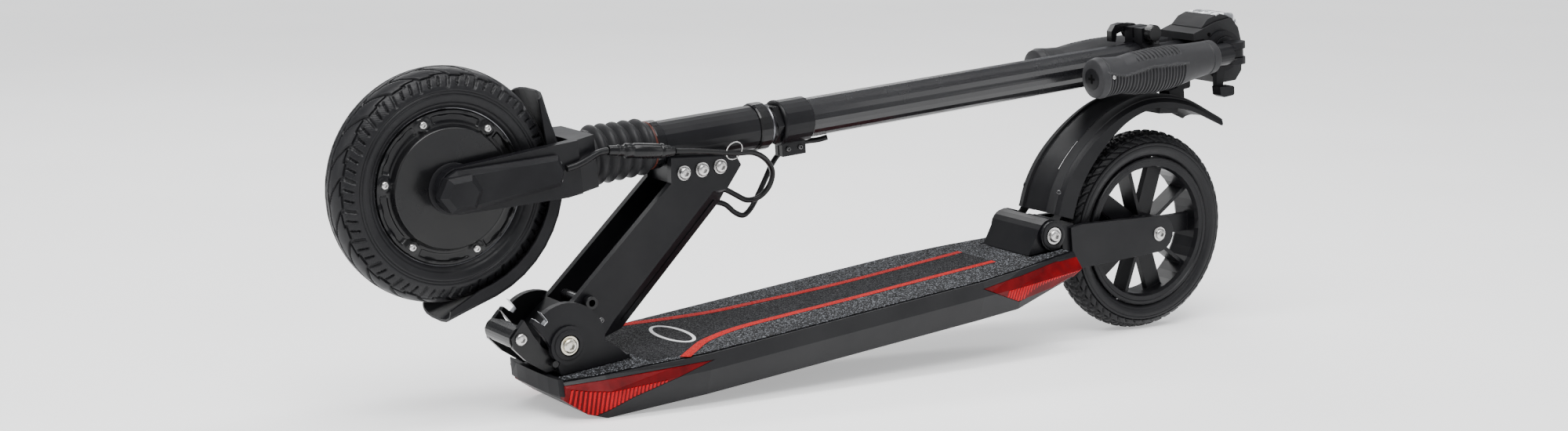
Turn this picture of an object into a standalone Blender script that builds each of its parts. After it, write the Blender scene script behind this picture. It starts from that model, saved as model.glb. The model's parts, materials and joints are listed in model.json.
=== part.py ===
"""Electric kick scooter, folded flat: deck, folding neck, sprung front fork with a hub motor, telescopic
stem with folding grips, and a sprung rear arm with a foot-brake mudguard.

Every shape is drawn in the deck's own frame, in millimetres: the origin is the centre of the front wheel,
+X runs rearward along the deck, +Y is the rider's right and +Z is square to the deck. Pieces on the stem are
drawn in the stem's frame, whose X axis is the steering axis. The whole scooter then leans back onto its rear
wheel, as it stands when it is folded, with the front lower edge of the deck on the floor."""

import math

import bmesh
import bpy
from mathutils import Matrix, Vector

MM = 0.001
GAP = 0.3

# Driving dimensions, in millimetres and degrees
WHEEL_RADIUS = 100.0
FRONT_TYRE_HALF_WIDTH = 23.2
REAR_TYRE_HALF_WIDTH = 20.0
REAR_AXLE = (743.1, -191.3)
DECK_TOP = -180.3
DECK_BOTTOM = -219.7
DECK_FRONT = 69.0
NOSE_FRONT = 63.5
DECK_REAR = 620.0
HINGE = (85.0, -153.5)
ARM_ANGLE = 40.0
STEM_ANGLE = 1.74
STEM_RISE = 2.0
LEVER_PIVOT = (72.0, -168.0)
ROLLER = (45.5, -141.0)
REAR_PIVOT = (607.6, -164.3)
MUDGUARD_PIVOT = (629.0, -146.0)
BAR_X = 842.0
BAR_Y = 46.0
STEM_RADIUS = 18.0
INNER_STEM_RADIUS = 12.6
CLAMP_BOLT = (762.0, 27.0)

SEGMENTS = 24
DECK_FRAME = Matrix.Identity(4)
STEM_FRAME = Matrix.Translation((0, 0, STEM_RISE)) @ Matrix.Rotation(math.radians(STEM_ANGLE), 4, "Y")


# ---- scene, materials and frames ---------------------------------------------------------------------


def clear_scene():
    for obj in list(bpy.data.objects):
        bpy.data.objects.remove(obj, do_unlink=True)


def material(name, colour, roughness, metallic=0.0, alpha=1.0):
    made = bpy.data.materials.new(name)
    made.use_nodes = True
    shader = made.node_tree.nodes["Principled BSDF"]
    shader.inputs["Base Color"].default_value = (*colour, 1.0)
    shader.inputs["Roughness"].default_value = roughness
    shader.inputs["Metallic"].default_value = metallic
    shader.inputs["Alpha"].default_value = alpha
    return made


def make_materials():
    return {
        "satin_black": material("satin_black", (0.012, 0.012, 0.014), 0.38, 0.2),
        "black_plastic": material("black_plastic", (0.02, 0.02, 0.022), 0.5),
        "gloss_black": material("gloss_black", (0.01, 0.01, 0.011), 0.22, 0.1),
        "rubber": material("rubber", (0.022, 0.022, 0.024), 0.75),
        "tyre": material("tyre", (0.02, 0.02, 0.022), 0.7),
        "grey_rubber": material("grey_rubber", (0.055, 0.055, 0.06), 0.65),
        "grip_tape": material("grip_tape", (0.05, 0.05, 0.052), 0.9),
        "zinc_steel": material("zinc_steel", (0.62, 0.6, 0.56), 0.28, 1.0),
        "red_lens": material("red_lens", (0.5, 0.01, 0.015), 0.15),
        "clear_lens": material("clear_lens", (0.75, 0.77, 0.8), 0.08),
        "aluminium": material("aluminium", (0.55, 0.56, 0.58), 0.35, 1.0),
        "battery_wrap": material("battery_wrap", (0.02, 0.07, 0.2), 0.45),
    }


def empty(name, parent, frame):
    """A joint's frame, given in the deck's frame."""
    made = bpy.data.objects.new(name, None)
    bpy.context.collection.objects.link(made)
    made.parent = parent
    made["frame"] = [value for row in frame for value in row]
    local = parent_frame(parent).inverted() @ frame if parent else Matrix.Identity(4)
    made.matrix_basis = scaled(local)
    return made


def parent_frame(obj):
    if obj is None or "frame" not in obj:
        return Matrix.Identity(4)
    flat = list(obj["frame"])
    return Matrix([flat[row * 4 : row * 4 + 4] for row in range(4)])


def scaled(frame):
    """The same placing with its millimetre offset in metres."""
    return Matrix.Translation(frame.to_translation() * MM) @ frame.to_3x3().to_4x4()


def add(name, mesh, look, joint, frame=DECK_FRAME, sharp=35.0):
    """Makes the object of one sub-part, with its mesh kept in its joint's frame."""
    data = bpy.data.meshes.new(name)
    bmesh.ops.recalc_face_normals(mesh, faces=mesh.faces)
    mesh.transform(parent_frame(joint).inverted() @ frame)
    mesh.transform(Matrix.Scale(MM, 4))
    mesh.to_mesh(data)
    mesh.free()
    data.shade_smooth()
    data.set_sharp_from_angle(angle=math.radians(sharp))
    data.materials.append(look)
    obj = bpy.data.objects.new(name, data)
    bpy.context.collection.objects.link(obj)
    obj.parent = joint
    return obj


# ---- solid shapes, as bmesh --------------------------------------------------------------------------


def loft(sections, closed=False):
    """A solid through rings that all have the same number of points; each ring is a list of (x, y, z)."""
    mesh = bmesh.new()
    rings = [[mesh.verts.new(point) for point in ring] for ring in sections]
    pairs = list(zip(rings, rings[1:]))
    if closed:
        pairs.append((rings[-1], rings[0]))
    else:
        mesh.faces.new(rings[0])
        mesh.faces.new(rings[-1])
    for first, second in pairs:
        for i in range(len(first)):
            j = (i + 1) % len(first)
            mesh.faces.new((first[i], first[j], second[j], second[i]))
    bmesh.ops.recalc_face_normals(mesh, faces=mesh.faces)
    return mesh


def prism(outline, y_from, y_to):
    """An outline in the XZ plane, drawn out along Y."""
    return loft([[(x, y, z) for x, z in outline] for y in (y_from, y_to)])


def plan_prism(outline, z_from, z_to):
    """An outline in the XY plane, drawn out along Z."""
    return loft([[(x, y, z) for x, y in outline] for z in (z_from, z_to)])


def box(x_range, y_range, z_range):
    (front, rear), (low, high) = x_range, z_range
    return prism([(front, low), (rear, low), (rear, high), (front, high)], *y_range)


def turned(profile, axis="Y", centre=(0, 0, 0), segments=SEGMENTS, closed=True):
    """A turned solid from (place along the axis, radius). A closed profile goes round a ring or tube."""
    mesh = bmesh.new()
    rings = []
    for place, radius in profile:
        if radius < 1e-6:
            rings.append([mesh.verts.new(on_axis(place, 0, 0, axis, centre))])
            continue
        turns = [2 * math.pi * k / segments for k in range(segments)]
        circle = [(radius * math.cos(t), radius * math.sin(t)) for t in turns]
        rings.append([mesh.verts.new(on_axis(place, a, b, axis, centre)) for a, b in circle])
    pairs = list(zip(rings, rings[1:]))
    if closed:
        pairs.append((rings[-1], rings[0]))
    for first, second in pairs:
        for k in range(segments):
            corners = [first[k % len(first)], first[(k + 1) % len(first)]]
            corners += [second[(k + 1) % len(second)], second[k % len(second)]]
            mesh.faces.new(list(dict.fromkeys(corners)))
    bmesh.ops.recalc_face_normals(mesh, faces=mesh.faces)
    return mesh


def on_axis(place, a, b, axis, centre):
    point = {"X": (place, a, b), "Y": (a, place, b), "Z": (a, b, place)}[axis]
    return Vector(point) + Vector(centre)


def rod(radius, start, end, axis="Y", centre=(0, 0, 0), segments=SEGMENTS):
    return turned([(start, 0), (start, radius), (end, radius), (end, 0)], axis, centre, segments, closed=False)


def tube(outer, inner, start, end, axis="X", centre=(0, 0, 0), segments=SEGMENTS):
    return turned([(start, inner), (start, outer), (end, outer), (end, inner)], axis, centre, segments)


def bolt(reach, shank, shoulder, head, crown, place):
    """A bolt along Y with the same low head at both ends. Its sizes are half lengths and radii."""
    half = [(reach, 0), (reach, crown), (reach - 1.5, head), (shoulder, head), (shoulder, shank)]
    profile = [(-y, r) for y, r in half] + list(reversed(half))
    return turned(profile, centre=(place[0], 0, place[1]), segments=20, closed=False)


def boolean(mesh, other, operation):
    """The first shape joined with, or cut by, the other; both are used up."""
    objects = []
    for shape in (mesh, other):
        data = bpy.data.meshes.new("shape")
        shape.to_mesh(data)
        shape.free()
        objects.append(bpy.data.objects.new("shape", data))
        bpy.context.collection.objects.link(objects[-1])
    modifier = objects[0].modifiers.new("combine", "BOOLEAN")
    modifier.operation = operation
    modifier.object = objects[1]
    graph = bpy.context.evaluated_depsgraph_get()
    result = bmesh.new()
    result.from_mesh(objects[0].evaluated_get(graph).to_mesh())
    for obj in objects:
        bpy.data.objects.remove(obj, do_unlink=True)
    bmesh.ops.remove_doubles(result, verts=result.verts, dist=0.002)
    bmesh.ops.dissolve_degenerate(result, edges=result.edges, dist=0.002)
    return result


def joined(mesh, *others):
    for other in others:
        mesh = boolean(mesh, other, "UNION")
    return mesh


def cut(mesh, *others):
    for other in others:
        mesh = boolean(mesh, other, "DIFFERENCE")
    return mesh


def arc(centre, radius, start, end, steps):
    """Points on an arc in degrees, from start to end."""
    angles = [math.radians(start + (end - start) * k / steps) for k in range(steps + 1)]
    return [(centre[0] + radius * math.cos(a), centre[1] + radius * math.sin(a)) for a in angles]


def smooth_curve(points, steps):
    """Points on a Catmull-Rom curve through the given ones."""
    vectors = [Vector(point) for point in points]
    padded = [2 * vectors[0] - vectors[1], *vectors, 2 * vectors[-1] - vectors[-2]]
    made = []
    for a, b, c, d in zip(padded, padded[1:], padded[2:], padded[3:]):
        square, cube = 2 * a - 5 * b + 4 * c - d, 3 * b - a - 3 * c + d
        for k in range(steps):
            t = k / steps
            made.append(0.5 * (2 * b + (c - a) * t + square * t**2 + cube * t**3))
    return [*made, vectors[-1]]


def cable(name, points, diameter, look, joint, steps):
    """A round cable along a smooth curve, as a poly spline with filled caps."""
    route = smooth_curve(points, steps)
    data = bpy.data.curves.new(name, "CURVE")
    data.dimensions = "3D"
    data.bevel_depth = diameter / 2 * MM
    data.bevel_resolution = 2
    data.use_fill_caps = True
    spline = data.splines.new("POLY")
    spline.points.add(len(route) - 1)
    into_joint = parent_frame(joint).inverted()
    for point, place in zip(spline.points, route):
        point.co = (*(into_joint @ place * MM), 1.0)
    data.materials.append(look)
    obj = bpy.data.objects.new(name, data)
    bpy.context.collection.objects.link(obj)
    obj.parent = joint
    return obj


# ---- deck --------------------------------------------------------------------------------------------

# x, half width of the top, then half width and height of the widest line and of the bottom
DECK_STATIONS = [
    (DECK_FRONT, 49, 54, -185, 47, -197),
    (88, 54, 61, -190, 52, -213),
    (105, 58, 67, -193, 55, DECK_BOTTOM),
    (200, 74, 74, -195, 62, DECK_BOTTOM),
    (497, 74, 74, -195, 62, DECK_BOTTOM),
    (545, 68, 72, -195, 60, DECK_BOTTOM),
    (DECK_REAR, 54, 66, -195, 52, -205),
]
FRONT_LAMP = [(50, -182.5), (203, -186.5), (128, -204), (92, -216.5), (50, -216.5)]
REAR_LAMP = [(497, -187), (640, -182), (640, -206), (603, -205), (543, -211)]
COVER_TOP = -216.0


def deck_ring(station):
    x, top, side, side_height, bottom, bottom_height = station
    half = [(top, DECK_TOP), (side, side_height), (bottom, bottom_height)]
    return [(x, y, z) for y, z in half] + [(x, -y, z) for y, z in reversed(half)]


def grown(outline, distance):
    """A convex outline with every side moved outward."""
    made = []
    for k, point in enumerate(outline):
        here, before, after = Vector(point), Vector(outline[k - 1]), Vector(outline[(k + 1) % len(outline)])
        first, second = (here - before).normalized(), (after - here).normalized()
        normals = Vector((-first.y, first.x)), Vector((-second.y, second.x))
        move = (normals[0] + normals[1]) / (1 + normals[0].dot(normals[1]))
        made.append(tuple(here + move * distance))
    return made


def lamp_pocket(outline, inner_front, inner_rear, side, grow):
    """The space of a corner lamp: an outline seen from the side, with a slanting inner wall."""
    x_front = min(x for x, _ in outline)
    x_rear = max(x for x, _ in outline)
    slope = (inner_rear - inner_front) / (x_rear - x_front)
    points = grown(outline, grow)
    near = [(x, side * (inner_front + slope * (x - x_front) - grow), z) for x, z in points]
    far = [(x, side * 100, z) for x, z in points]
    return loft([near, far])


def make_deck(root, looks):
    body = loft([deck_ring(station) for station in DECK_STATIONS])
    lamps = (("front", FRONT_LAMP, 38, 66), ("rear", REAR_LAMP, 67, 56))
    for place, outline, inner_front, inner_rear in lamps:
        for hand, side in (("left", -1), ("right", 1)):
            solid = loft([deck_ring(station) for station in DECK_STATIONS])
            lamp = boolean(solid, lamp_pocket(outline, inner_front, inner_rear, side, 0), "INTERSECT")
            add(f"{place}_{hand}_lamp", lamp, looks["red_lens"], root)
            body = cut(body, lamp_pocket(outline, inner_front, inner_rear, side, GAP))
    hollow = box((112, 606), (-51, 51), (-240, DECK_TOP - 5))
    cover_seat = box((108, 541), (-53, 53), (-240, COVER_TOP + GAP))
    add("deck", cut(body, hollow, cover_seat), looks["satin_black"], root, sharp=20)
    add("bottom_cover", box((109, 540), (-52, 52), (DECK_BOTTOM + 0.2, COVER_TOP)), looks["satin_black"], root)


def make_grip_tape(root, looks):
    edge = [(x, top - 3) for x, top, *_ in DECK_STATIONS]
    edge[0] = (DECK_FRONT + 3, edge[0][1])
    edge[-1] = (DECK_REAR - 3, edge[-1][1])
    bracket_notch = [(144.5, 34), (DECK_FRONT + 3, 34)]
    housing_notch = [(DECK_REAR - 3, 40.6), (578.6, 40.6)]
    half = bracket_notch + edge + housing_notch
    outline = half + [(x, -y) for x, y in reversed(half)]
    add("grip_tape", plan_prism(outline, DECK_TOP + GAP, DECK_TOP + 1.1), looks["grip_tape"], root)


def make_nose(root, looks):
    back = DECK_FRONT - GAP
    near = [(back, 51), (NOSE_FRONT + 2.5, 46), (NOSE_FRONT + 0.6, 30), (NOSE_FRONT, 12)]
    lip = near + [(x, -y) for x, y in reversed(near)]
    add("nose_cap", plan_prism(lip, -193, -177.5), looks["black_plastic"], root)


def make_electrics(root, looks):
    battery = box((150, 420), (-48, 48), (-213, -187))
    add("battery_pack", battery, looks["battery_wrap"], root)
    controller = box((440, 530), (-38, 38), (-213, -189))
    fins = [box((446 + 12 * k, 452 + 12 * k), (-36, 36), (-189.5, -186.5)) for k in range(7)]
    add("motor_controller", joined(controller, *fins), looks["aluminium"], root)


# ---- folding hinge -----------------------------------------------------------------------------------

BRACKET_BOTTOM = DECK_TOP + 1.4
PLATE_INNER = 26.5
PLATE_OUTER = 33.5
ARCH_RADIUS = 36.8


def bracket_plate(side):
    slot_in = arc(HINGE, 28.5, 123.5, 132.5, 2)
    outline = [(76, BRACKET_BOTTOM), (144, BRACKET_BOTTOM), (133, -166.8), (121, -158.5)]
    outline += arc(HINGE, ARCH_RADIUS, 5, 121, 12)
    outline += slot_in
    outline += arc(HINGE, 40, 135, 140, 1) + [(64.5, -143), (69, -152)]
    plate = prism(outline, side * PLATE_INNER, side * PLATE_OUTER)
    ring = rod(17, side * 30, side * 36, centre=(HINGE[0], 0, HINGE[1]))
    return joined(plate, ring)


def make_bracket(root, looks):
    base = box((76, 143.5), (-PLATE_OUTER + 0.2, PLATE_OUTER - 0.2), (BRACKET_BOTTOM, -175))
    bracket = joined(base, bracket_plate(-1), bracket_plate(1))
    bolt_hole = rod(6.3, -60, 60, centre=(HINGE[0], 0, HINGE[1]))
    pin_hole = rod(3.35, -60, 60, centre=(LEVER_PIVOT[0], 0, LEVER_PIVOT[1]), segments=16)
    add("hinge_bracket", cut(bracket, bolt_hole, pin_hole), looks["satin_black"], root, sharp=30)
    add("hinge_bolt", bolt(40, 6, 36.3, 8, 6.5, HINGE), looks["zinc_steel"], root)


def make_release_lever(joint, looks):
    outline = [(50.5, -125.5), (44.5, -131), (36.5, -139), (37.5, -148), (48, -161), (66, -175.5)]
    outline += [(75, -175), (79, -169), (76, -162), (64, -152), (57, -140)]
    roller = rod(10.0, -24, 24, centre=(ROLLER[0], 0, ROLLER[1]), segments=24)
    plates = [prism(outline, side * 20.6, side * 26.2) for side in (-1, 1)]
    lever = cut(joined(roller, *plates), box((60, 90), (-20.6, 20.6), (-185, -150)))
    for side in (-1, 1):
        stub = rod(3.0, side * 21, side * 33, centre=(LEVER_PIVOT[0], 0, LEVER_PIVOT[1]), segments=16)
        lever = joined(lever, stub)
    add("release_lever", lever, looks["gloss_black"], joint)


# ---- neck --------------------------------------------------------------------------------------------

NECK_HALF = 25.0
NECK_BOLT_STATIONS = (220.0, 238.5, 257.0)
NECK_BOLT_DROP = -24.5
STUD_REACH = 41.5
CABLE_PORTS = ((-1.0, -57.5), (7.0, -69.0))
STUD_ANGLE = 48.0


def arm_point(along, across):
    """A point by its distance along the neck from the hinge, and across it to the rear."""
    turn = math.radians(ARM_ANGLE)
    x = HINGE[0] + along * math.cos(turn) + across * math.sin(turn)
    z = HINGE[1] + along * math.sin(turn) - across * math.cos(turn)
    return x, z


def arm_box(along, across, y_range):
    corners = [(along[0], across[0]), (along[1], across[0]), (along[1], across[1]), (along[0], across[1])]
    return prism([arm_point(a, c) for a, c in corners], *y_range)


def neck_outline(rear):
    """The neck's side view. The rear line lies this far across, or nearer the front at the cheeks."""
    bottom = [arm_point(-6, 19), arm_point(26, 28), arm_point(46, rear)]
    top = [arm_point(190, rear), (268 + (rear - 43) * 0.4, -52), (278, -33), (274, -24), (208, -14), (206, -36)]
    front = [arm_point(34, -16.5), arm_point(12, -19)]
    return bottom + top + front + arc(HINGE, 20, ARM_ANGLE + 100, ARM_ANGLE + 245, 8)


def make_neck(joint, looks):
    cheek, full = neck_outline(26), neck_outline(43)
    rings = [(-NECK_HALF, cheek), (-14, full), (14, full), (NECK_HALF, cheek)]
    neck = loft([[(x, y, z) for x, z in outline] for y, outline in rings])
    channel = arm_box((28, 172), (-30, 4), (-18, 18))
    cavity = arm_box((60, 240), (11, 36), (-17.9, 17.9))
    neck = cut(neck, channel, cavity)
    for side in (-1, 1):
        neck = cut(neck, arm_box((-60, 25), (-60, 60), (side * 20.2, side * 60)))
    neck = cut(neck, rod(6.3, -60, 60, centre=(HINGE[0], 0, HINGE[1])))
    stud_x, stud_z = arc(HINGE, STUD_REACH, STUD_ANGLE, STUD_ANGLE + 1, 1)[0]
    neck = cut(neck, rod(4.3, -60, 60, centre=(stud_x, 0, stud_z), segments=20))
    for y, z in CABLE_PORTS:
        neck = cut(neck, rod(2.8, 236, 300, "X", (0, y, z), 16))
    for shape in stem_spaces():
        shape.transform(STEM_FRAME)
        neck = cut(neck, shape)
    add("neck_arm", neck, looks["satin_black"], joint, sharp=25)
    profile = [(-33, 0), (-33, 3.2), (-32, 4), (32, 4), (33, 3.2), (33, 0)]
    stud = turned(profile, centre=(stud_x, 0, stud_z), segments=20, closed=False)
    add("latch_stud", stud, looks["gloss_black"], joint)


def stem_spaces():
    """The room that the head tube, its tongue and its three bolts take in the neck, in the stem's frame."""
    yield rod(22.2, 190, 330, "X")
    yield box((190, 300), (-17.9, 17.9), (-36, 0))
    for station in NECK_BOLT_STATIONS:
        yield rod(4.3, -60, 60, centre=(station, 0, NECK_BOLT_DROP), segments=20)


def make_head_tube(joint, looks):
    shell = tube(20, 15.3, 209, 305)
    tongue = cut(box((212, 268), (-17.5, 17.5), (-34, -8)), rod(17.5, 200, 300, "X"))
    head = joined(shell, tongue)
    for station in NECK_BOLT_STATIONS:
        head = cut(head, rod(4.3, -60, 60, centre=(station, 0, NECK_BOLT_DROP), segments=20))
    for number, station in enumerate(NECK_BOLT_STATIONS, 1):
        made = bolt(29.5, 4, 25.4, 6.4, 4, (station, NECK_BOLT_DROP))
        add(f"neck_bolt_{number}", made, looks["zinc_steel"], joint, STEM_FRAME)
    add("head_tube", head, looks["satin_black"], joint, STEM_FRAME)
    ring = [(198.5, 15.3), (198.5, 20.5), (200, 21.6), (207, 21.6), (208.7, 20.5), (208.7, 15.3)]
    add("lower_headset_ring", turned(ring, "X"), looks["satin_black"], joint, STEM_FRAME)
    upper = turned([(305.3, 15.3), (305.3, 20.8), (307, 21.7), (317, 21.7), (319, 19.5), (319, 15.3)], "X")
    add("upper_headset_ring", upper, looks["gloss_black"], joint, STEM_FRAME)


# ---- steering stem -----------------------------------------------------------------------------------


def make_stem(steer, clamp_joint, looks):
    steerer = tube(14.8, 12.9, 200, 346)
    add("steerer_tube", steerer, looks["aluminium"], steer, STEM_FRAME)
    nut = joined(rod(17.2, 319.6, 325, "X"), rod(19.4, 324, 330.5, "X", segments=6))
    nut = cut(nut, rod(15.1, 310, 340, "X"))
    add("lock_nut", nut, looks["satin_black"], steer, STEM_FRAME)
    inside = STEM_RADIUS + GAP
    ring = [(331, 15.1), (331, 20.2), (362, 20.2), (363, 19.7), (363, inside), (348, inside), (348, 15.1)]
    ring = turned(ring, "X")
    lug = cut(box((334, 359), (-6.5, 6.5), (-31, -8)), rod(19.2, 320, 370, "X"))
    collar = cut(joined(ring, lug), box((325, 370), (-0.8, 0.8), (-40, -12)))
    add("clamp_collar", collar, looks["satin_black"], steer, STEM_FRAME)
    add("stem_tube", tube(STEM_RADIUS, STEM_RADIUS - 2.4, 348.5, 763), looks["gloss_black"], steer, STEM_FRAME)
    make_height_clamp(steer, clamp_joint, looks)


def make_height_clamp(steer, clamp_joint, looks):
    x, z = CLAMP_BOLT
    band = tube(22, STEM_RADIUS + GAP, 752, 772)
    lip = tube(19, INNER_STEM_RADIUS + 0.5, 764, 773)
    ears = cut(box((752, 772), (-13, 13), (14, 32.5)), rod(20, 740, 790, "X"))
    clamp = cut(joined(band, lip, ears), box((740, 790), (-1.2, 1.2), (8, 40)))
    clamp = cut(clamp, rod(3.3, -40, 40, centre=(x, 0, z), segments=16))
    clamp = joined(clamp, box((752, 756), (-2, 2), (19.5, 22)))
    add("height_clamp", clamp, looks["satin_black"], steer, STEM_FRAME)
    profile = [(-22, 0), (-22, 7.5), (-20.5, 8.5), (-13.4, 8.5), (-13.4, 3), (20, 3), (20, 0)]
    screw = turned(profile, centre=(x, 0, z), segments=24, closed=False)
    cam = rod(7.5, 13.4, 22, centre=(x, 0, z), segments=24)
    arm = [(x, z - 6), (x, z + 7), (750, z + 9), (741, z + 8), (736, z + 2), (736, z - 8)]
    arm += [(741, z - 9), (743, z - 1), (750, z + 1)]
    lever = joined(screw, cam, prism(arm, 14, 21.4))
    add("height_clamp_lever", lever, looks["gloss_black"], clamp_joint, STEM_FRAME)


# ---- front fork and wheel ----------------------------------------------------------------------------

BLADE_INNER = 31.5
BLADE_OUTER = 41.0


def make_fork(fork, looks):
    blade = arc((0, 0), 20, 100, 260, 8) + [(98, -25), (112, -24), (112, 22), (98, 22)]
    half_crown = [(109, 29), (100, BLADE_INNER), (100, BLADE_OUTER), (106, BLADE_OUTER), (133, 30)]
    solid = plan_prism(half_crown + [(x, -y) for x, y in reversed(half_crown)], -24, 22)
    for side in (-1, 1):
        solid = joined(solid, prism(blade, side * BLADE_INNER, side * BLADE_OUTER))
    piston = rod(12.4, 120, 236, "X")
    piston.transform(STEM_FRAME)
    seat = rod(21, 125, 136.5, "X")
    seat.transform(STEM_FRAME)
    solid = cut(joined(solid, seat, piston), rod(6.3, -60, 60))
    add("fork", solid, looks["satin_black"], fork, sharp=30)
    for hand, side in (("left", -1), ("right", 1)):
        make_fork_cover(f"{hand}_fork_cover", side, fork, looks)


def make_fork_cover(name, side, fork, looks):
    """The plastic cover on a fork blade, with the faceted cap over the axle's nut."""
    base = arc((0, 0), 18.5, 100, 260, 6) + [(60, -14), (90, -12.5), (94, 0), (90, 14), (60, 15.5)]
    crest = [(x * 0.97 + 0.5, z * 0.72) for x, z in base]
    rings = [(BLADE_OUTER + GAP, base), (45.5, base), (48.5, crest)]
    shell = loft([[(x, side * y, z) for x, z in outline] for y, outline in rings])
    foot = [(-24, 0), (-15, -14.5), (7, -14.5), (15, 0), (7, 14.5), (-15, 14.5)]
    face = [(x * 0.72 - 1.2, z * 0.72) for x, z in foot]
    cap = loft([[(x, side * y, z) for x, z in outline] for y, outline in ((44, foot), (53, foot), (58, face))])
    nut_room = rod(9.5, side * 40, side * 54, segments=24)
    add(name, cut(joined(shell, cap), nut_room), looks["black_plastic"], fork, sharp=25)


def make_bellows(fork, looks):
    ribs = []
    for k in range(5):
        centre = 144.5 + 11.5 * k
        radius = 26.4 - 0.4 * k
        ribs += [(centre - 5.7, 21.6), (centre - 3, radius - 1.2), (centre, radius), (centre + 3, radius - 1.2)]
    outer = [(137.2, 21.6), *ribs[1:], (197.5, 21.6)]
    inner = [(197.5, 18.8), (137.2, 18.8)]
    add("bellows", turned(outer + inner, "X"), looks["rubber"], fork, STEM_FRAME)


def make_fork_spring(fork, looks):
    """The coil spring in the steerer, between the fork's piston and a plug under the lock nut."""
    turns, per_turn, radius, start, end = 6, 9, 9.5, 238.3, 318.0
    count = turns * per_turn
    points = []
    for k in range(count + 1):
        turn = 2 * math.pi * k / per_turn
        points.append((start + (end - start) * k / count, radius * math.cos(turn), radius * math.sin(turn)))
    route = [STEM_FRAME @ Vector(point) for point in points]
    cable("fork_spring", route, 3.2, looks["zinc_steel"], fork, 1)


def make_front_mudguard(fork, looks):
    """A channel round the wheel's rear, flared outward at both ends."""
    stations = []
    for k in range(17):
        share = k / 16
        angle = -99 + 134 * share
        flare = 9 * max(0, 1 - share / 0.16) ** 2 + 8 * max(0, (share - 0.86) / 0.14) ** 2
        inside = 103.5 + flare
        skirt = inside - 13 + 7 * max(0, (share - 0.80) / 0.20) + 4 * max(0, 1 - share / 0.12)
        stations.append((angle, inside, skirt))
    rings = []
    for angle, inside, skirt in stations:
        turn = math.radians(angle)
        over = [(28.5, skirt), (28.5, inside - 4), (26, inside - 0.8), (20, inside + 1.6), (10, inside + 2.8)]
        under = [(9.4, inside + 0.4), (18.8, inside - 0.7), (24, inside - 2.8), (26, inside - 5), (26, skirt)]
        section = over + [(-y, r) for y, r in reversed(over)]
        section += [(-y, r) for y, r in reversed(under)] + under
        rings.append([(r * math.cos(turn), y, r * math.sin(turn)) for y, r in section])
    add("front_mudguard", loft(rings), looks["black_plastic"], fork, sharp=40)


def tyre_profile(half_width, bead, bead_half, wall=0.0):
    """Half a tyre from bead to crown, mirrored; a wall thickness leaves it hollow and open to the rim."""
    reach = WHEEL_RADIUS - bead
    shape = [(bead_half, 0.0), (half_width * 0.93, 0.2), (half_width, 0.42), (half_width * 0.94, 0.68)]
    shape += [(half_width * 0.7, 0.88), (half_width * 0.36, 0.975), (0.0, 1.0)]
    outer = [(y, bead + reach * share) for y, share in shape]
    outer += [(-y, r) for y, r in reversed(outer[:-1])]
    if not wall:
        return outer
    hollow = [(bead_half - 5, 0.0), (half_width - wall, 0.42), (half_width * 0.62, 0.78), (0.0, 1 - wall / reach)]
    inner = [(y, bead + reach * share) for y, share in hollow]
    inner += [(-y, r) for y, r in reversed(inner[:-1])]
    return outer + list(reversed(inner))


def make_front_wheel(fork, wheel, looks):
    tyre = turned(tyre_profile(FRONT_TYRE_HALF_WIDTH, 66.3, 17.5, 4.5), segments=40)
    add("front_tyre", tyre, looks["tyre"], wheel, sharp=60)
    half = [(9, 63), (12, 66), (17, 66), (15, 62), (15, 47)]
    shell = half + [(-y, r) for y, r in reversed(half)]
    add("motor_shell", turned(shell, segments=40), looks["gloss_black"], wheel)
    for hand, side in (("left", -1), ("right", 1)):
        disc = [(15.4, 9), (15.4, 61.5), (18.6, 61.5), (18.6, 54), (24, 53), (25.6, 51), (25.6, 16)]
        disc += [(29.5, 14), (29.5, 6.4), (22, 6.4), (22, 9)]
        disc = [(side * y, r) for y, r in disc]
        add(f"{hand}_motor_cover", turned(disc, segments=40), looks["gloss_black"], wheel)
    axle = [(-46, 0), (-46, 6), (-13, 6), (-13, 20), (-11, 45), (11, 45), (13, 20), (13, 6), (46, 6), (46, 0)]
    add("axle_and_stator", turned(axle, closed=False), looks["aluminium"], fork)


# ---- rear arm, wheel and mudguard --------------------------------------------------------------------


def make_suspension_housing(root, looks):
    x, z = REAR_PIVOT
    outline = [(579, BRACKET_BOTTOM), (618, BRACKET_BOTTOM), (x + 16, z)] + arc(REAR_PIVOT, 16, 0, 150, 8)
    housing = prism(outline, -36, 36)
    for side in (-1, 1):
        housing = joined(housing, rod(14.5, side * 30, side * 40, centre=(x, 0, z)))
        ear = [(x, z + 4), (x + 6, z - 2)] + arc(MUDGUARD_PIVOT, 4.2, -50, 130, 5)
        housing = joined(housing, prism(ear, side * 24.6, side * 26.6))
    knuckle_room = rod(14.2, -24.3, 24.3, centre=(x, 0, z))
    rear_room = box((x, 660), (-24.3, 24.3), (-200, -130))
    pin_holes = rod(3.35, -60, 60, centre=(MUDGUARD_PIVOT[0], 0, MUDGUARD_PIVOT[1]), segments=16)
    bolt_hole = rod(5.3, -60, 60, centre=(x, 0, z), segments=24)
    housing = cut(housing, knuckle_room, rear_room, pin_holes, bolt_hole)
    add("suspension_housing", housing, looks["satin_black"], root, sharp=30)
    add("suspension_bolt", bolt(44, 5, 40.3, 7, 5.5, REAR_PIVOT), looks["zinc_steel"], root)


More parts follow.
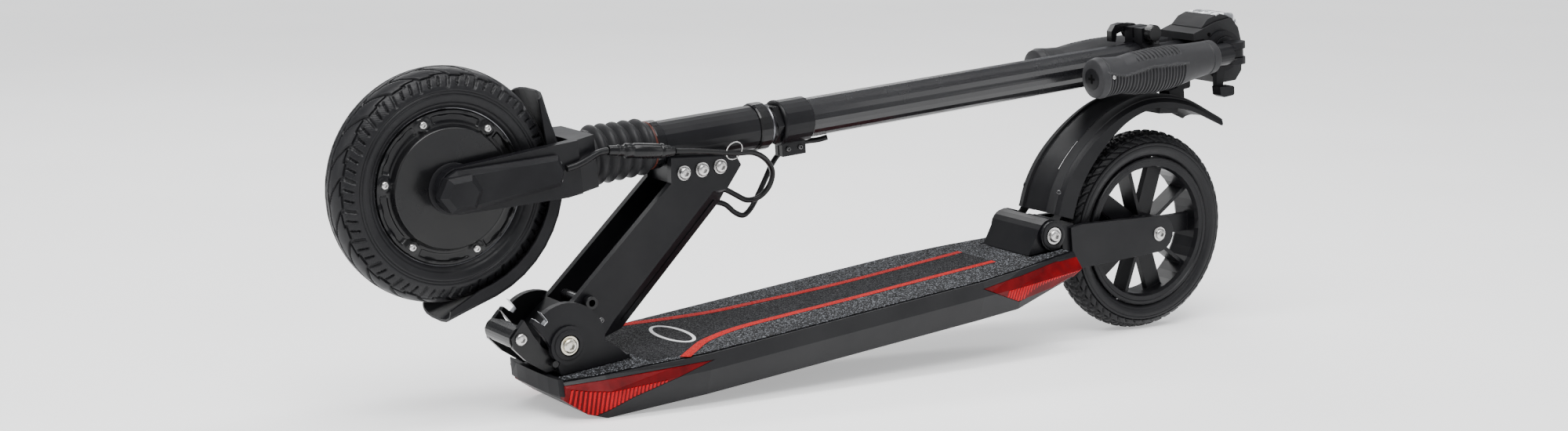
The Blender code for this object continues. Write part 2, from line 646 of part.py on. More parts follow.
def make_rear_arm(arm, looks):
    x, z = REAR_PIVOT
    plate = [(634, -163), (648, -162)] + arc(REAR_AXLE, 18.5, 95, -85, 8) + [(634, -205)]
    cross = box((625, 640), (-30.5, 30.5), (-205, -160))
    web = box((x, 628), (-23.9, 23.9), (-174, -156))
    knuckle = rod(12.8, -23.9, 23.9, centre=(x, 0, z), segments=24)
    body = joined(cross, web, knuckle, prism(plate, -34, -28), prism(plate, 28, 34))
    body = cut(body, rod(5.3, -60, 60, centre=(x, 0, z), segments=24))
    body = cut(body, rod(4.8, -60, 60, centre=(REAR_AXLE[0], 0, REAR_AXLE[1]), segments=24))
    add("rear_fork", body, looks["satin_black"], arm, sharp=30)
    add("rear_axle", bolt(38, 4.5, 34.3, 6.5, 5, REAR_AXLE), looks["satin_black"], arm)


def spoke(angle, width, depth):
    mesh = box((14, 66), (-depth / 2, depth / 2), (-width / 2, width / 2))
    mesh.transform(Matrix.Rotation(math.radians(-angle), 4, "Y"))
    return mesh


def make_rear_wheel(wheel, looks):
    centre = Matrix.Translation((REAR_AXLE[0], 0, REAR_AXLE[1]))
    half_lip = [(12, 72), (14, 74.5), (18.4, 74.5), (18, 66), (14, 64)]
    rim = turned(half_lip + [(-y, r) for y, r in reversed(half_lip)], segments=40)
    hub = rod(17, -24, 24, segments=24)
    for k in range(5):
        rim = joined(rim, spoke(67.5 + 72 * k, 18, 7), spoke(102 + 72 * k, 4, 20))
    rim = cut(joined(rim, hub), rod(4.8, -60, 60, segments=24))
    add("rear_rim", rim, looks["satin_black"], wheel, centre, sharp=30)
    tyre = turned(tyre_profile(REAR_TYRE_HALF_WIDTH, 74.9, 17.5), segments=40)
    add("rear_tyre", tyre, looks["tyre"], wheel, centre, sharp=60)


# x, depth of the side skirts and z along the rear mudguard's outer line
MUDGUARD_LINE = [
    (616, 25, -146), (627, 25, -121), (647, 23, -96), (678, 19, -73),
    (714, 15, -57), (752, 13, -53), (796, 12, -64), (840, 9, -91),
]


def make_rear_mudguard(joint, looks):
    line = smooth_curve(MUDGUARD_LINE, 2)
    rings = []
    for k, (x, skirt, z) in enumerate(line):
        before, after = line[max(k - 1, 0)], line[min(k + 1, len(line) - 1)]
        inward = Vector((after[2] - before[2], 0, before[0] - after[0])).normalized()
        outside = [(31, skirt), (31, 7.2), (28, 3.8), (22, 1.4), (12, 0)]
        inside = [(12, 2.6), (21.3, 3.5), (26.8, 5.2), (28.8, 7.6), (28.8, skirt)]
        section = outside + [(-y, depth) for y, depth in reversed(outside)]
        section += [(-y, depth) for y, depth in reversed(inside)] + inside
        rings.append([Vector((x, y, z)) + inward * depth for y, depth in section])
    guard = loft(rings)
    px, pz = MUDGUARD_PIVOT
    for side in (-1, 1):
        guard = joined(guard, rod(3.0, side * 24.8, side * 30, centre=(px, 0, pz), segments=16))
    catch = [(788, -62.5), (807, -70.5), (807, -52), (801, -51), (799, -56), (788, -58)]
    add("rear_mudguard", joined(guard, prism(catch, -8, 8)), looks["black_plastic"], joint, sharp=40)
    top = [(x, z - 3.4) for x, _, z in line if 764 < x < 804]
    pad = top + [(top[-1][0] - 4, -81), (787, -79.5), (768, -76.5)]
    add("brake_pad", prism(pad, -14, 14), looks["rubber"], joint)


# ---- handlebar ---------------------------------------------------------------------------------------

# The head housing seen from the side, in the stem's frame
HEAD_OUTLINE = [
    (808, 14), (808, 21), (838, 29), (858, 31), (867, 20), (872, 0),
    (870, -24), (862, -33), (840, -33), (828, -22), (822, 14),
]


def make_inner_stem(slide, looks):
    inner = tube(INNER_STEM_RADIUS, 10.6, 490, 834)
    sleeve = rod(15, -34, 34, centre=(BAR_X, 0, 0))
    tongues = [box((833, 851), (side * 32, side * BAR_Y), (-4, 4)) for side in (-1, 1)]
    ends = [rod(9, -4, 4, "Z", (BAR_X, side * BAR_Y, 0), 20) for side in (-1, 1)]
    hook = box((797, 806), (-6, 6), (-27, -11.5))
    stem = joined(inner, sleeve, *tongues, *ends, hook)
    stem = cut(stem, rod(10.6, 485, 832, "X"))
    for side in (-1, 1):
        stem = cut(stem, rod(3.3, -20, 20, "Z", (BAR_X, side * BAR_Y, 0), 16))
    add("inner_stem", stem, looks["satin_black"], slide, STEM_FRAME)


def make_head(slide, looks):
    housing = prism(HEAD_OUTLINE, -25, 25)
    for room in (rod(15.4, -60, 60, centre=(BAR_X, 0, 0)), rod(13.0, 780, BAR_X, "X")):
        housing = cut(housing, room)
    housing = cut(housing, rod(5.3, 864.5, 890, "X", (0, 0, -12), 20))
    add("head_housing", housing, looks["black_plastic"], slide, STEM_FRAME, sharp=25)
    top = [(822, 25.2), (838, 29.4), (858, 31.4), (866.5, 21.6), (869, 24), (862, 35), (846, 36.5), (830, 32)]
    add("lamp_lens", prism(top, -22, 22), looks["clear_lens"], slide, STEM_FRAME)


def make_power_button(joint, looks):
    button = rod(5.0, 866.6, 873.4, "X", (0, 0, -12), 20)
    add("power_button", button, looks["gloss_black"], joint, STEM_FRAME)


def make_thumb_lever(name, side, joint, looks):
    ring = tube(20, 15.4, side * 25.8, side * 33, "Y", (BAR_X, 0, 0))
    arm = [(831, -15), (842, -18), (838, -36), (830, -36)]
    paddle = [(828.5, -34), (838, -34.5), (846, -35), (847.5, -36.5), (847.5, -43)]
    paddle += [(846, -44.5), (834, -45), (829.5, -42.5)]
    lever = joined(ring, prism(arm, side * 26.5, side * 32.5), prism(paddle, side * 27, side * 39))
    add(name, lever, looks["black_plastic"], joint, STEM_FRAME)


def make_bar(name, side, joint, looks):
    """The tube of a folding grip, with the slotted knuckle that turns on the stem's tongue."""
    centre = (0, side * BAR_Y, 0)
    bar = tube(11, 9, 690, 826, centre=centre, segments=24)
    root = rod(11, 822, BAR_X, "X", centre, 24)
    knuckle = rod(11, -11, 11, "Z", (BAR_X, side * BAR_Y, 0), 24)
    slot = rod(13.5, -4.4, 4.4, "Z", (BAR_X, side * BAR_Y, 0), 24)
    slot_side = box((BAR_X - 13, BAR_X + 20), (side * (BAR_Y - 14), side * BAR_Y), (-4.4, 4.4))
    bar = cut(joined(bar, root, knuckle), slot, slot_side)
    pin = rod(3.0, -10, 10, "Z", (BAR_X, side * BAR_Y, 0), 16)
    add(name, joined(bar, pin), looks["satin_black"], joint, STEM_FRAME)


# x, top, bottom and half width of a grip about its bar
GRIP_STATIONS = [
    (661, 13, -16, 13),
    (663, 17, -20, 17),
    (669, 18.5, -21.5, 18.5),
    (680, 17, -20.5, 17),
    (694, 16, -20, 16.5),
    (712, 18, -23.5, 17.5),
    (735, 19, -25.5, 18.5),
    (758, 18.5, -24, 18),
    (780, 17, -20, 17),
    (800, 16.5, -17, 16.5),
    (812, 16.5, -16.5, 16.5),
]


def make_grip(name, side, joint, looks):
    rings = []
    for x, top, bottom, half in GRIP_STATIONS:
        turns = [2 * math.pi * k / 20 for k in range(20)]
        middle, height = (top + bottom) / 2, (top - bottom) / 2
        rings.append([(x, side * BAR_Y + half * math.cos(t), middle + height * math.sin(t)) for t in turns])
    bore = rod(11.3, 689.5, 830, "X", (0, side * BAR_Y, 0), 24)
    add(name, cut(loft(rings), bore), looks["grey_rubber"], joint, STEM_FRAME, sharp=50)


# ---- cables ------------------------------------------------------------------------------------------

MOTOR_CABLE = [
    (97, -44.6, 1), (106, -44.8, 2), (117, -43.5, 4.5), (127, -40, 6.8), (134, -37, 7.2), (141.5, -36, 7),
]
LOOP_CABLE = [
    (207, -36, -5.6), (216, -35.5, -7.5), (231, -34, -10.5), (250, -33, -15), (270, -32, -20), (290, -27, -24),
    (306, -21, -34), (316, -14, -48), (315, -8, -62), (306, -4, -71), (294, -2, -72), (283, -1, -65),
    (274, -1, -59), (266, -1, CABLE_PORTS[0][1]), (252, -1, CABLE_PORTS[0][1]),
]
HARNESS_CABLE = [
    (242, 7, CABLE_PORTS[1][1]), (258, 7, CABLE_PORTS[1][1]), (266, 7, -69.6), (276, 6.5, -74), (285, 6.5, -83),
    (294, 7, -87.5), (303, 8, -83), (312, 9, -73), (322, 10, -60), (331, 11, -48), (340, 11.5, -40),
    (352, 11, -35.5), (366, 8, -32.8), (378, 3, -32.5), (386, 0, -31.2),
]


def make_cables(steer, fork, looks):
    cable("motor_cable", MOTOR_CABLE, 6.0, looks["rubber"], fork, 3)
    cable("loop_cable", LOOP_CABLE, 5.0, looks["rubber"], steer, 3)
    cable("harness_cable", HARNESS_CABLE, 5.0, looks["rubber"], steer, 3)
    profile = [(142, 0), (142, 4.2), (156, 5.0), (159, 6.5), (192, 6.5), (200, 5.2), (206.5, 3.8), (206.5, 0)]
    plug = turned(profile, "X", segments=20, closed=False)
    turn = at(142, 7, -36) @ Matrix.Rotation(math.radians(11), 4, "Y") @ at(-142, 0)
    add("cable_connector", plug, looks["gloss_black"], fork, turn)


# ---- assembly ----------------------------------------------------------------------------------------


def at(x, z, y=0.0):
    return Matrix.Translation((x, y, z))


def in_stem(x, y=0.0, z=0.0):
    return STEM_FRAME @ Matrix.Translation((x, y, z))


def lean_angle():
    """The lean, in radians, that rests both the deck's front lower edge and the rear tyre on the floor."""
    x, *_, z = next(station for station in DECK_STATIONS if station[-1] == DECK_BOTTOM)
    run, rise = REAR_AXLE[0] - x, REAR_AXLE[1] - z
    return math.asin(WHEEL_RADIUS / math.hypot(run, rise)) - math.atan2(rise, run)


def stand_on_floor(root):
    """Leans the scooter and moves it so that its box stands on the floor, centred on the origin."""
    root.matrix_basis = Matrix.Rotation(-lean_angle(), 4, "Y")
    bpy.context.view_layer.update()
    graph = bpy.context.evaluated_depsgraph_get()
    low, high = Vector((9, 9, 9)), Vector((-9, -9, -9))
    for obj in bpy.data.objects:
        if obj.type == "EMPTY":
            continue
        evaluated = obj.evaluated_get(graph)
        shape = evaluated.to_mesh()
        for vertex in shape.vertices:
            place = evaluated.matrix_world @ vertex.co
            low = Vector(map(min, low, place))
            high = Vector(map(max, high, place))
        evaluated.to_mesh_clear()
    root.location = (-(low.x + high.x) / 2, 0, -low.z)


def main():
    clear_scene()
    looks = make_materials()
    root = empty("scooter", None, Matrix.Identity(4))
    lever = empty("release_axis", root, at(*LEVER_PIVOT))
    neck = empty("fold_axis", root, at(*HINGE))
    steer = empty("steering_axis", neck, in_stem(0))
    clamp = empty("clamp_lever_axis", steer, in_stem(CLAMP_BOLT[0], 0, CLAMP_BOLT[1]))
    fork = empty("front_suspension", steer, in_stem(0))
    front_wheel = empty("front_wheel_axis", fork, at(0, 0))
    slide = empty("stem_slide", steer, in_stem(0))
    left_fold = empty("left_grip_axis", slide, in_stem(BAR_X, -BAR_Y))
    right_fold = empty("right_grip_axis", slide, in_stem(BAR_X, BAR_Y))
    throttle = empty("throttle_axis", slide, in_stem(BAR_X))
    brake = empty("brake_lever_axis", slide, in_stem(BAR_X))
    button = empty("button_axis", slide, in_stem(872, 0, -12))
    arm = empty("rear_suspension_axis", root, at(*REAR_PIVOT))
    rear_wheel = empty("rear_wheel_axis", arm, at(*REAR_AXLE))
    guard = empty("mudguard_axis", root, at(*MUDGUARD_PIVOT))

    make_deck(root, looks)
    make_grip_tape(root, looks)
    make_nose(root, looks)
    make_electrics(root, looks)
    make_bracket(root, looks)
    make_release_lever(lever, looks)
    make_neck(neck, looks)
    make_head_tube(neck, looks)
    make_stem(steer, clamp, looks)
    make_fork(fork, looks)
    make_bellows(fork, looks)
    make_fork_spring(fork, looks)
    make_front_mudguard(fork, looks)
    make_front_wheel(fork, front_wheel, looks)
    make_suspension_housing(root, looks)
    make_rear_arm(arm, looks)
    make_rear_wheel(rear_wheel, looks)
    make_rear_mudguard(guard, looks)
    make_inner_stem(slide, looks)
    make_head(slide, looks)
    make_power_button(button, looks)
    make_thumb_lever("throttle_lever", 1, throttle, looks)
    make_thumb_lever("brake_lever", -1, brake, looks)
    for hand, side, joint in (("left", -1, left_fold), ("right", 1, right_fold)):
        make_bar(f"{hand}_bar", side, joint, looks)
        make_grip(f"{hand}_grip", side, joint, looks)
    make_cables(steer, fork, looks)
    stand_on_floor(root)


main()
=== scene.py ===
"""The looks of a folded electric kick scooter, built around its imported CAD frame.

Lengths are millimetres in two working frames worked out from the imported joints. The deck's frame has its
origin at the front wheel's centre, +X rearward along the deck and +Z square to it. The stem's frame has X
along the steering axis.
"""

import json
import math

import bmesh
import bpy
import numpy as np
from mathutils import Matrix, Vector

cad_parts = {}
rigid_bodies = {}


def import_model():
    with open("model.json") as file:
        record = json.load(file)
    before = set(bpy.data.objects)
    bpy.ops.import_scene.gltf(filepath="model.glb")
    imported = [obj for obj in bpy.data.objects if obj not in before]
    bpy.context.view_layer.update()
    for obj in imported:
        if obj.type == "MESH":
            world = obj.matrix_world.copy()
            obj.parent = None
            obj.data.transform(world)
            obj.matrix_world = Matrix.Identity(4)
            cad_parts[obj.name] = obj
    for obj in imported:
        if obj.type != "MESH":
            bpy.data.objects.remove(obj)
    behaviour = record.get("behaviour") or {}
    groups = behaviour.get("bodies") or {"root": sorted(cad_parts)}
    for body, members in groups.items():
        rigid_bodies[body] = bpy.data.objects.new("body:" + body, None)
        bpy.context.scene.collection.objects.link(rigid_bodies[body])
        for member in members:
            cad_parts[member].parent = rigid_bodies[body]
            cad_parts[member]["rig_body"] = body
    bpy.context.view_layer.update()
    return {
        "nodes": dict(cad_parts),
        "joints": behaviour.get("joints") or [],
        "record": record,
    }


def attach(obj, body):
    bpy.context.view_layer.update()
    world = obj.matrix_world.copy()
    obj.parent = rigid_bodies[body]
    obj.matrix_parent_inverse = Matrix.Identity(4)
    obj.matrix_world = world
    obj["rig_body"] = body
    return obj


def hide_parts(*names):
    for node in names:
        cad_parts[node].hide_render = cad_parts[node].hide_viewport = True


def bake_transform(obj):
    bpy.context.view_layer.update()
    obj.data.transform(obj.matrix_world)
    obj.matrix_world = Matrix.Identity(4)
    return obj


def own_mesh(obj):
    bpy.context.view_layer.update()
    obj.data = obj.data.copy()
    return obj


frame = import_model()
NODES = frame["nodes"]
JOINTS = {joint["name"]: joint for joint in frame["joints"]}

MM = 0.001
WHEEL_RADIUS = 100.0
REAR_AXLE = (743.1, -191.3)
HINGE = (85.0, -153.5)
SUSPENSION_BOLT = (607.6, -164.3)
DECK_TOP = -180.3
TAPE_TOP = DECK_TOP + 1.1
NECK_ANGLE = math.radians(40)
BELLOWS_START = 137.3
BELLOWS_END = 197.6
GRIP_START = 661.4
GRIP_END = 811.6
BAR_X = 842.0
BAR_Y = 46.0
RING_STEPS = 72
SIDES = (-1, 1)
HANDS = (("left", -1), ("right", 1))

CAMERA_PLACE = (-820.45, -1905.19, 439.34)
CAMERA_FORWARD = (0.50349, 0.83195, -0.23315)
CAMERA_RIGHT = (0.84130, -0.53352, -0.08697)
CAMERA_LENS = 57.66


# ---- working frames ------------------------------------------------------------------------------


def deck_frame():
    """Millimetres in the deck's frame to metres in the world."""
    front = Vector(JOINTS["front_wheel_spin"]["pos_m"])
    rear = Vector(JOINTS["rear_wheel_spin"]["pos_m"])
    lean = math.atan2(rear.z - front.z, rear.x - front.x) - math.atan2(REAR_AXLE[1], REAR_AXLE[0])
    return Matrix.Translation(front) @ Matrix.Rotation(-lean, 4, "Y") @ Matrix.Scale(MM, 4)


def stem_frame():
    """Millimetres in the stem's frame to metres in the world."""
    steering = JOINTS["steering"]
    along = Vector(steering["axis"]).normalized()
    across = Vector((0, 1, 0))
    turn = Matrix((along, across, along.cross(across))).transposed().to_4x4()
    return Matrix.Translation(Vector(steering["pos_m"])) @ turn @ Matrix.Scale(MM, 4)


DECK = deck_frame()
STEM = stem_frame()
REAR_WHEEL = DECK @ Matrix.Translation((REAR_AXLE[0], 0, REAR_AXLE[1]))


# ---- materials -----------------------------------------------------------------------------------


LOOK = {}


class Nodes:
    """A material's nodes, added one after the other. LOOK holds the material by its name."""

    def __init__(self, name):
        self.material = bpy.data.materials.new(name)
        self.material.use_nodes = True
        LOOK[name] = self.material
        self.tree = self.material.node_tree
        self.shader = self.tree.nodes["Principled BSDF"]
        self.place = self.tree.nodes.new("ShaderNodeTexCoord").outputs["Object"]

    def link(self, source, target):
        self.tree.links.new(source, target)

    def feed(self, source, name):
        """Links a value to the surface's own input of this name."""
        self.link(source, self.shader.inputs[name])

    def noise(self, scale, detail=3.0, roughness=0.55, stretch=(1, 1, 1)):
        """Noise whose scale is cycles in a metre."""
        mapping = self.tree.nodes.new("ShaderNodeMapping")
        mapping.inputs["Scale"].default_value = stretch
        self.link(self.place, mapping.inputs["Vector"])
        node = self.tree.nodes.new("ShaderNodeTexNoise")
        node.inputs["Scale"].default_value = scale
        node.inputs["Detail"].default_value = detail
        node.inputs["Roughness"].default_value = roughness
        self.link(mapping.outputs["Vector"], node.inputs["Vector"])
        return node.outputs["Fac"]

    def cells(self, scale):
        """Cells whose scale is cells in a metre."""
        node = self.tree.nodes.new("ShaderNodeTexVoronoi")
        node.inputs["Scale"].default_value = scale
        self.link(self.place, node.inputs["Vector"])
        return node

    def ramp(self, value, stops):
        """Colours at places along the value."""
        node = self.tree.nodes.new("ShaderNodeValToRGB")
        elements = node.color_ramp.elements
        while len(elements) < len(stops):
            elements.new(0.5)
        for element, (place, colour) in zip(elements, stops):
            element.position = place
            element.color = (*colour, 1.0)
        self.link(value, node.inputs["Fac"])
        return node.outputs["Color"]

    def span(self, value, low, high, to_low, to_high):
        """The value stretched from one range to another."""
        node = self.tree.nodes.new("ShaderNodeMapRange")
        for name, number in zip(("From Min", "From Max", "To Min", "To Max"), (low, high, to_low, to_high)):
            node.inputs[name].default_value = number
        self.link(value, node.inputs["Value"])
        return node.outputs["Result"]

    def mix(self, factor, first, second):
        node = self.tree.nodes.new("ShaderNodeMix")
        node.data_type = "RGBA"
        self.link(factor, node.inputs["Factor"])
        for socket, colour in ((node.inputs["A"], first), (node.inputs["B"], second)):
            if isinstance(colour, tuple):
                socket.default_value = (*colour, 1.0)
            else:
                self.link(colour, socket)
        return node.outputs["Result"]

    def bump(self, height, strength, depth):
        """Relief of this depth in metres."""
        node = self.tree.nodes.new("ShaderNodeBump")
        node.inputs["Strength"].default_value = strength
        node.inputs["Distance"].default_value = depth
        self.link(height, node.inputs["Height"])
        previous = self.shader.inputs["Normal"]
        if previous.is_linked:
            self.link(previous.links[0].from_socket, node.inputs["Normal"])
        self.link(node.outputs["Normal"], previous)


def coated(name, dark, light, rough, grain=1400, grain_depth=0.00002, coat=0.0, shine=0.22):
    """Paint or moulded plastic: soft mottling, a fine grain, and roughness that varies with handling."""
    n = Nodes(name)
    patches = n.noise(22, 4)
    n.feed(n.ramp(patches, [(0.35, dark), (0.7, light)]), "Base Color")
    smears = n.noise(9, 6, 0.65)
    n.feed(n.span(smears, 0.3, 0.7, rough[0], rough[1]), "Roughness")
    n.shader.inputs["Specular IOR Level"].default_value = shine
    n.shader.inputs["Coat Weight"].default_value = coat
    n.shader.inputs["Coat Roughness"].default_value = 0.12
    n.bump(n.noise(grain, 2), 0.35, grain_depth)
    n.bump(n.noise(60, 2), 0.05, 0.0003)


def rubber(name, dark, light, rough, sheen=0.0):
    """Rubber with a little dust in its texture."""
    n = Nodes(name)
    dust = n.noise(160, 6, 0.7)
    patches = n.noise(14, 3)
    base = n.ramp(patches, [(0.3, dark), (0.75, light)])
    dusty = tuple(2.2 * c + 0.004 for c in light)
    n.feed(n.mix(n.span(dust, 0.55, 0.8, 0.0, 0.35), base, dusty), "Base Color")
    n.feed(n.span(dust, 0.3, 0.75, rough[0], rough[1]), "Roughness")
    n.shader.inputs["Sheen Weight"].default_value = sheen
    n.shader.inputs["Specular IOR Level"].default_value = 0.22
    n.bump(n.noise(1500, 3, 0.7), 0.4, 0.00004)


def metal(name, colour, rough, brushed=(1, 1, 1), tint=None):
    """Plated or machined metal with fine scratches and a slight change of tint."""
    n = Nodes(name)
    tone = n.noise(90, 4)
    other = tint or tuple(0.72 * c for c in colour)
    n.feed(n.ramp(tone, [(0.35, other), (0.65, colour)]), "Base Color")
    scratches = n.noise(420, 5, 0.6, brushed)
    n.feed(n.span(scratches, 0.3, 0.7, rough[0], rough[1]), "Roughness")
    n.shader.inputs["Metallic"].default_value = 1.0
    n.bump(scratches, 0.12, 0.00003)


def faceted(name, dark, light):
    """Clear plastic moulded into small facets over a grey reflector."""
    n = Nodes(name)
    facets = n.cells(230)
    split = n.tree.nodes.new("ShaderNodeSeparateColor")
    n.link(facets.outputs["Color"], split.inputs["Color"])
    n.feed(n.ramp(split.outputs["Red"], [(0.35, dark), (0.8, light)]), "Base Color")
    n.feed(n.span(split.outputs["Green"], 0, 1, 0.08, 0.3), "Roughness")
    n.shader.inputs["Specular IOR Level"].default_value = 0.35
    n.bump(facets.outputs["Distance"], 0.6, 0.0008)


def gritty(name, base, painted_glint_colour, floor_rough=0.75):
    """Grit set in resin: dark grains, with painted glints among them: some facets get a bright colour in
    place of highlights.
    """
    n = Nodes(name)
    grains = n.cells(1500)
    facets = n.cells(1100)
    chosen = n.tree.nodes.new("ShaderNodeSeparateColor")
    n.link(facets.outputs["Color"], chosen.inputs["Color"])
    # Painted highlight: the brightest cells take the glint colour.
    glint = n.span(chosen.outputs["Red"], 0.74, 1.0, 0.0, 1.0)
    worn = n.noise(16, 4)
    ground = n.ramp(worn, [(0.3, tuple(0.75 * c for c in base)), (0.7, base)])
    n.feed(n.mix(glint, ground, painted_glint_colour), "Base Color")
    n.feed(n.span(chosen.outputs["Green"], 0.0, 1.0, 0.35, floor_rough + 0.2), "Roughness")
    n.shader.inputs["Specular IOR Level"].default_value = 0.15
    n.bump(grains.outputs["Distance"], 0.9, 0.0005)


def lens(name, deep, bright, rough):
    """Dyed clear plastic over a bright backing."""
    n = Nodes(name)
    depth = n.noise(70, 3, 0.5, (1, 1, 0.4))
    n.feed(n.ramp(depth, [(0.3, deep), (0.72, bright)]), "Base Color")
    n.feed(n.span(n.noise(260, 2), 0.3, 0.7, rough, rough + 0.1), "Roughness")
    n.shader.inputs["Specular IOR Level"].default_value = 0.08
    n.bump(n.noise(700, 2), 0.2, 0.00002)


def clear_plastic(name):
    n = Nodes(name)
    haze = n.noise(120, 3)
    n.feed(n.ramp(haze, [(0.3, (0.82, 0.85, 0.9)), (0.7, (0.93, 0.95, 0.97))]), "Base Color")
    n.feed(n.span(haze, 0.3, 0.7, 0.02, 0.08), "Roughness")
    n.shader.inputs["Transmission Weight"].default_value = 0.8
    n.shader.inputs["IOR"].default_value = 1.49


def make_looks():
    """Every look: its darker and lighter colour, its roughness, and what differs from its kind."""
    coal = (0.003, 0.003, 0.004)
    soot = (0.004, 0.004, 0.005)
    slate = (0.012, 0.012, 0.013)
    coated("satin_black", coal, (0.007, 0.007, 0.008), (0.3, 0.42), shine=0.2)
    coated("stem_black", coal, (0.006, 0.006, 0.007), (0.2, 0.3), 900, 0.00001, 0.3, 0.4)
    coated("gloss_black", coal, (0.007, 0.007, 0.007), (0.2, 0.32), 900, coat=0.12)
    coated("black_plastic", soot, (0.009, 0.009, 0.010), (0.4, 0.54), 1700, 0.00005, shine=0.15)
    coated("grey_plastic", slate, (0.022, 0.022, 0.023), (0.5, 0.64), 1700, 0.00006, shine=0.15)
    coated("dark_steel", slate, (0.03, 0.03, 0.032), (0.2, 0.32), 700, shine=0.9)
    coated("copper", (0.05, 0.010, 0.006), (0.09, 0.018, 0.010), (0.35, 0.5))
    coated("white_print", (0.68, 0.68, 0.69), (0.8, 0.8, 0.8), (0.45, 0.6))
    # Near-black for seam lines, and as painted shade in holes and recesses.
    coated("dark_hole", (0.001, 0.001, 0.001), (0.003, 0.003, 0.003), (0.7, 0.9), shine=0.05)
    coated("battery", (0.01, 0.05, 0.16), (0.02, 0.07, 0.2), (0.3, 0.5))
    rubber("black_rubber", (0.005, 0.005, 0.006), (0.010, 0.010, 0.011), (0.42, 0.62), 0.04)
    rubber("cable", soot, (0.008, 0.008, 0.008), (0.28, 0.42))
    rubber("tyre", soot, (0.009, 0.009, 0.010), (0.34, 0.56), 0.02)
    rubber("grey_rubber", (0.014, 0.014, 0.015), (0.025, 0.025, 0.027), (0.46, 0.62), 0.05)
    # On the tapes the second colour is painted glint on the grit.
    gritty("grip_tape", (0.009, 0.009, 0.010), (0.2, 0.21, 0.23))
    gritty("centre_tape", coal, (0.05, 0.05, 0.055))
    gritty("red_tape", (0.42, 0.004, 0.003), (0.6, 0.02, 0.015), 0.6)
    metal("zinc", (0.62, 0.61, 0.6), (0.2, 0.36))
    metal("gold_zinc", (0.66, 0.6, 0.44), (0.2, 0.34), tint=(0.55, 0.54, 0.5))
    metal("machined", (0.55, 0.56, 0.58), (0.25, 0.42), (1, 6, 6))
    metal("steel_ring", (0.16, 0.16, 0.17), (0.24, 0.4), (6, 1, 6))
    lens("red_lens", (0.05, 0.0, 0.001), (0.13, 0.001, 0.003), 0.3)
    lens("red_ribs", (0.28, 0.001, 0.004), (0.46, 0.002, 0.008), 0.24)
    faceted("lens_glass", (0.16, 0.165, 0.175), (0.82, 0.83, 0.85))
    clear_plastic("clear")


make_looks()

NODE_LOOKS = {
    "stem_tube": "stem_black",
    "lock_nut": "gloss_black",
    "upper_headset_ring": "gloss_black",
    "lower_headset_ring": "gloss_black",
    "rear_axle": "dark_steel",
    "latch_stud": "dark_steel",
    "head_housing": "grey_plastic",
    "lamp_lens": "lens_glass",
    "rear_fork": "satin_black",
}

# The other slots have a look of their own name
SLOT_LOOKS = {
    "rubber": "black_rubber",
    "zinc_steel": "zinc",
    "clear_lens": "clear",
    "aluminium": "machined",
    "battery_wrap": "battery",
}


# ---- mesh helpers --------------------------------------------------------------------------------


def piece(name, points, faces, look, slot, body, placing=DECK, sharp=40.0, bevel=0.0):
    """A mesh piece given in millimetres in a working frame, riding on a body."""
    data = bpy.data.meshes.new(name)
    data.from_pydata([tuple(point) for point in points], [], [tuple(face) for face in faces])
    data.transform(placing)
    shape = bmesh.new()
    shape.from_mesh(data)
    bmesh.ops.recalc_face_normals(shape, faces=shape.faces)
    shape.to_mesh(data)
    shape.free()
    data.shade_smooth()
    data.set_sharp_from_angle(angle=math.radians(sharp))
    data.materials.append(LOOK[look])
    obj = bpy.data.objects.new(name, data)
    bpy.context.scene.collection.objects.link(obj)
    if bevel:
        round_edges(obj, bevel * MM)
    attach(obj, body)
    return obj


def round_edges(obj, width, segments=2):
    modifier = obj.modifiers.new("rounded edges", "BEVEL")
    modifier.width = width
    modifier.segments = segments
    modifier.limit_method = "ANGLE"
    modifier.angle_limit = math.radians(34)
    modifier.harden_normals = True
    modifier.use_clamp_overlap = True


def grid_faces(rows, columns, close_rows, close_columns):
    faces = []
    for i in range(rows if close_rows else rows - 1):
        for j in range(columns if close_columns else columns - 1):
            here, ahead = i * columns, (i + 1) % rows * columns
            beside = (j + 1) % columns
            faces.append((here + j, here + beside, ahead + beside, ahead + j))
    return faces


def skin(sections, closed=False):
    """Points and faces through rings of equal length, with the two ends filled."""
    rings, size = len(sections), len(sections[0])
    points = [point for ring in sections for point in ring]
    faces = grid_faces(rings, size, closed, True)
    if not closed:
        faces.append(tuple(range(size)))
        faces.append(tuple(range((rings - 1) * size, rings * size)))
    return points, faces


def angles(steps):
    return [2 * math.pi * k / steps for k in range(steps)]


def turned(profile, axis="X", centre=(0, 0, 0), steps=RING_STEPS):
    """A ring of a closed profile of (place along the axis, radius)."""
    sections = []
    for place, radius in profile:
        ring = []
        for turn in angles(steps):
            a, b = radius * math.cos(turn), radius * math.sin(turn)
            spot = {"X": (place, a, b), "Y": (a, place, b), "Z": (a, b, place)}[axis]
            ring.append((spot[0] + centre[0], spot[1] + centre[1], spot[2] + centre[2]))
        sections.append(ring)
    return skin(sections, closed=True)


def mirrored(side, profile):
    """A profile of (distance from the middle, radius), on one side of the middle."""
    return [(side * place, radius) for place, radius in profile]


def merged(*shapes):
    points, faces = [], []
    for more_points, more_faces in shapes:
        offset = len(points)
        points += list(more_points)
        faces += [tuple(index + offset for index in face) for face in more_faces]
    return points, faces


def prism(outline, y_from, y_to):
    return skin([[(x, y, z) for x, z in outline] for y in (y_from, y_to)])


def box(x_range, y_range, z_range):
    (x0, x1), (z0, z1) = x_range, z_range
    return prism([(x0, z0), (x1, z0), (x1, z1), (x0, z1)], *y_range)


def smooth_curve(points, steps):
    """A curve through every point."""
    vectors = [Vector(point) for point in points]
    padded = [2 * vectors[0] - vectors[1], *vectors, 2 * vectors[-1] - vectors[-2]]
    made = []
    for a, b, c, d in zip(padded, padded[1:], padded[2:], padded[3:]):
        for k in range(steps):
            t = k / steps
            bend = (2 * a - 5 * b + 4 * c - d) * t * t + (3 * b - a - 3 * c + d) * t**3
            made.append(0.5 * (2 * b + (c - a) * t + bend))
    return [*made, vectors[-1]]


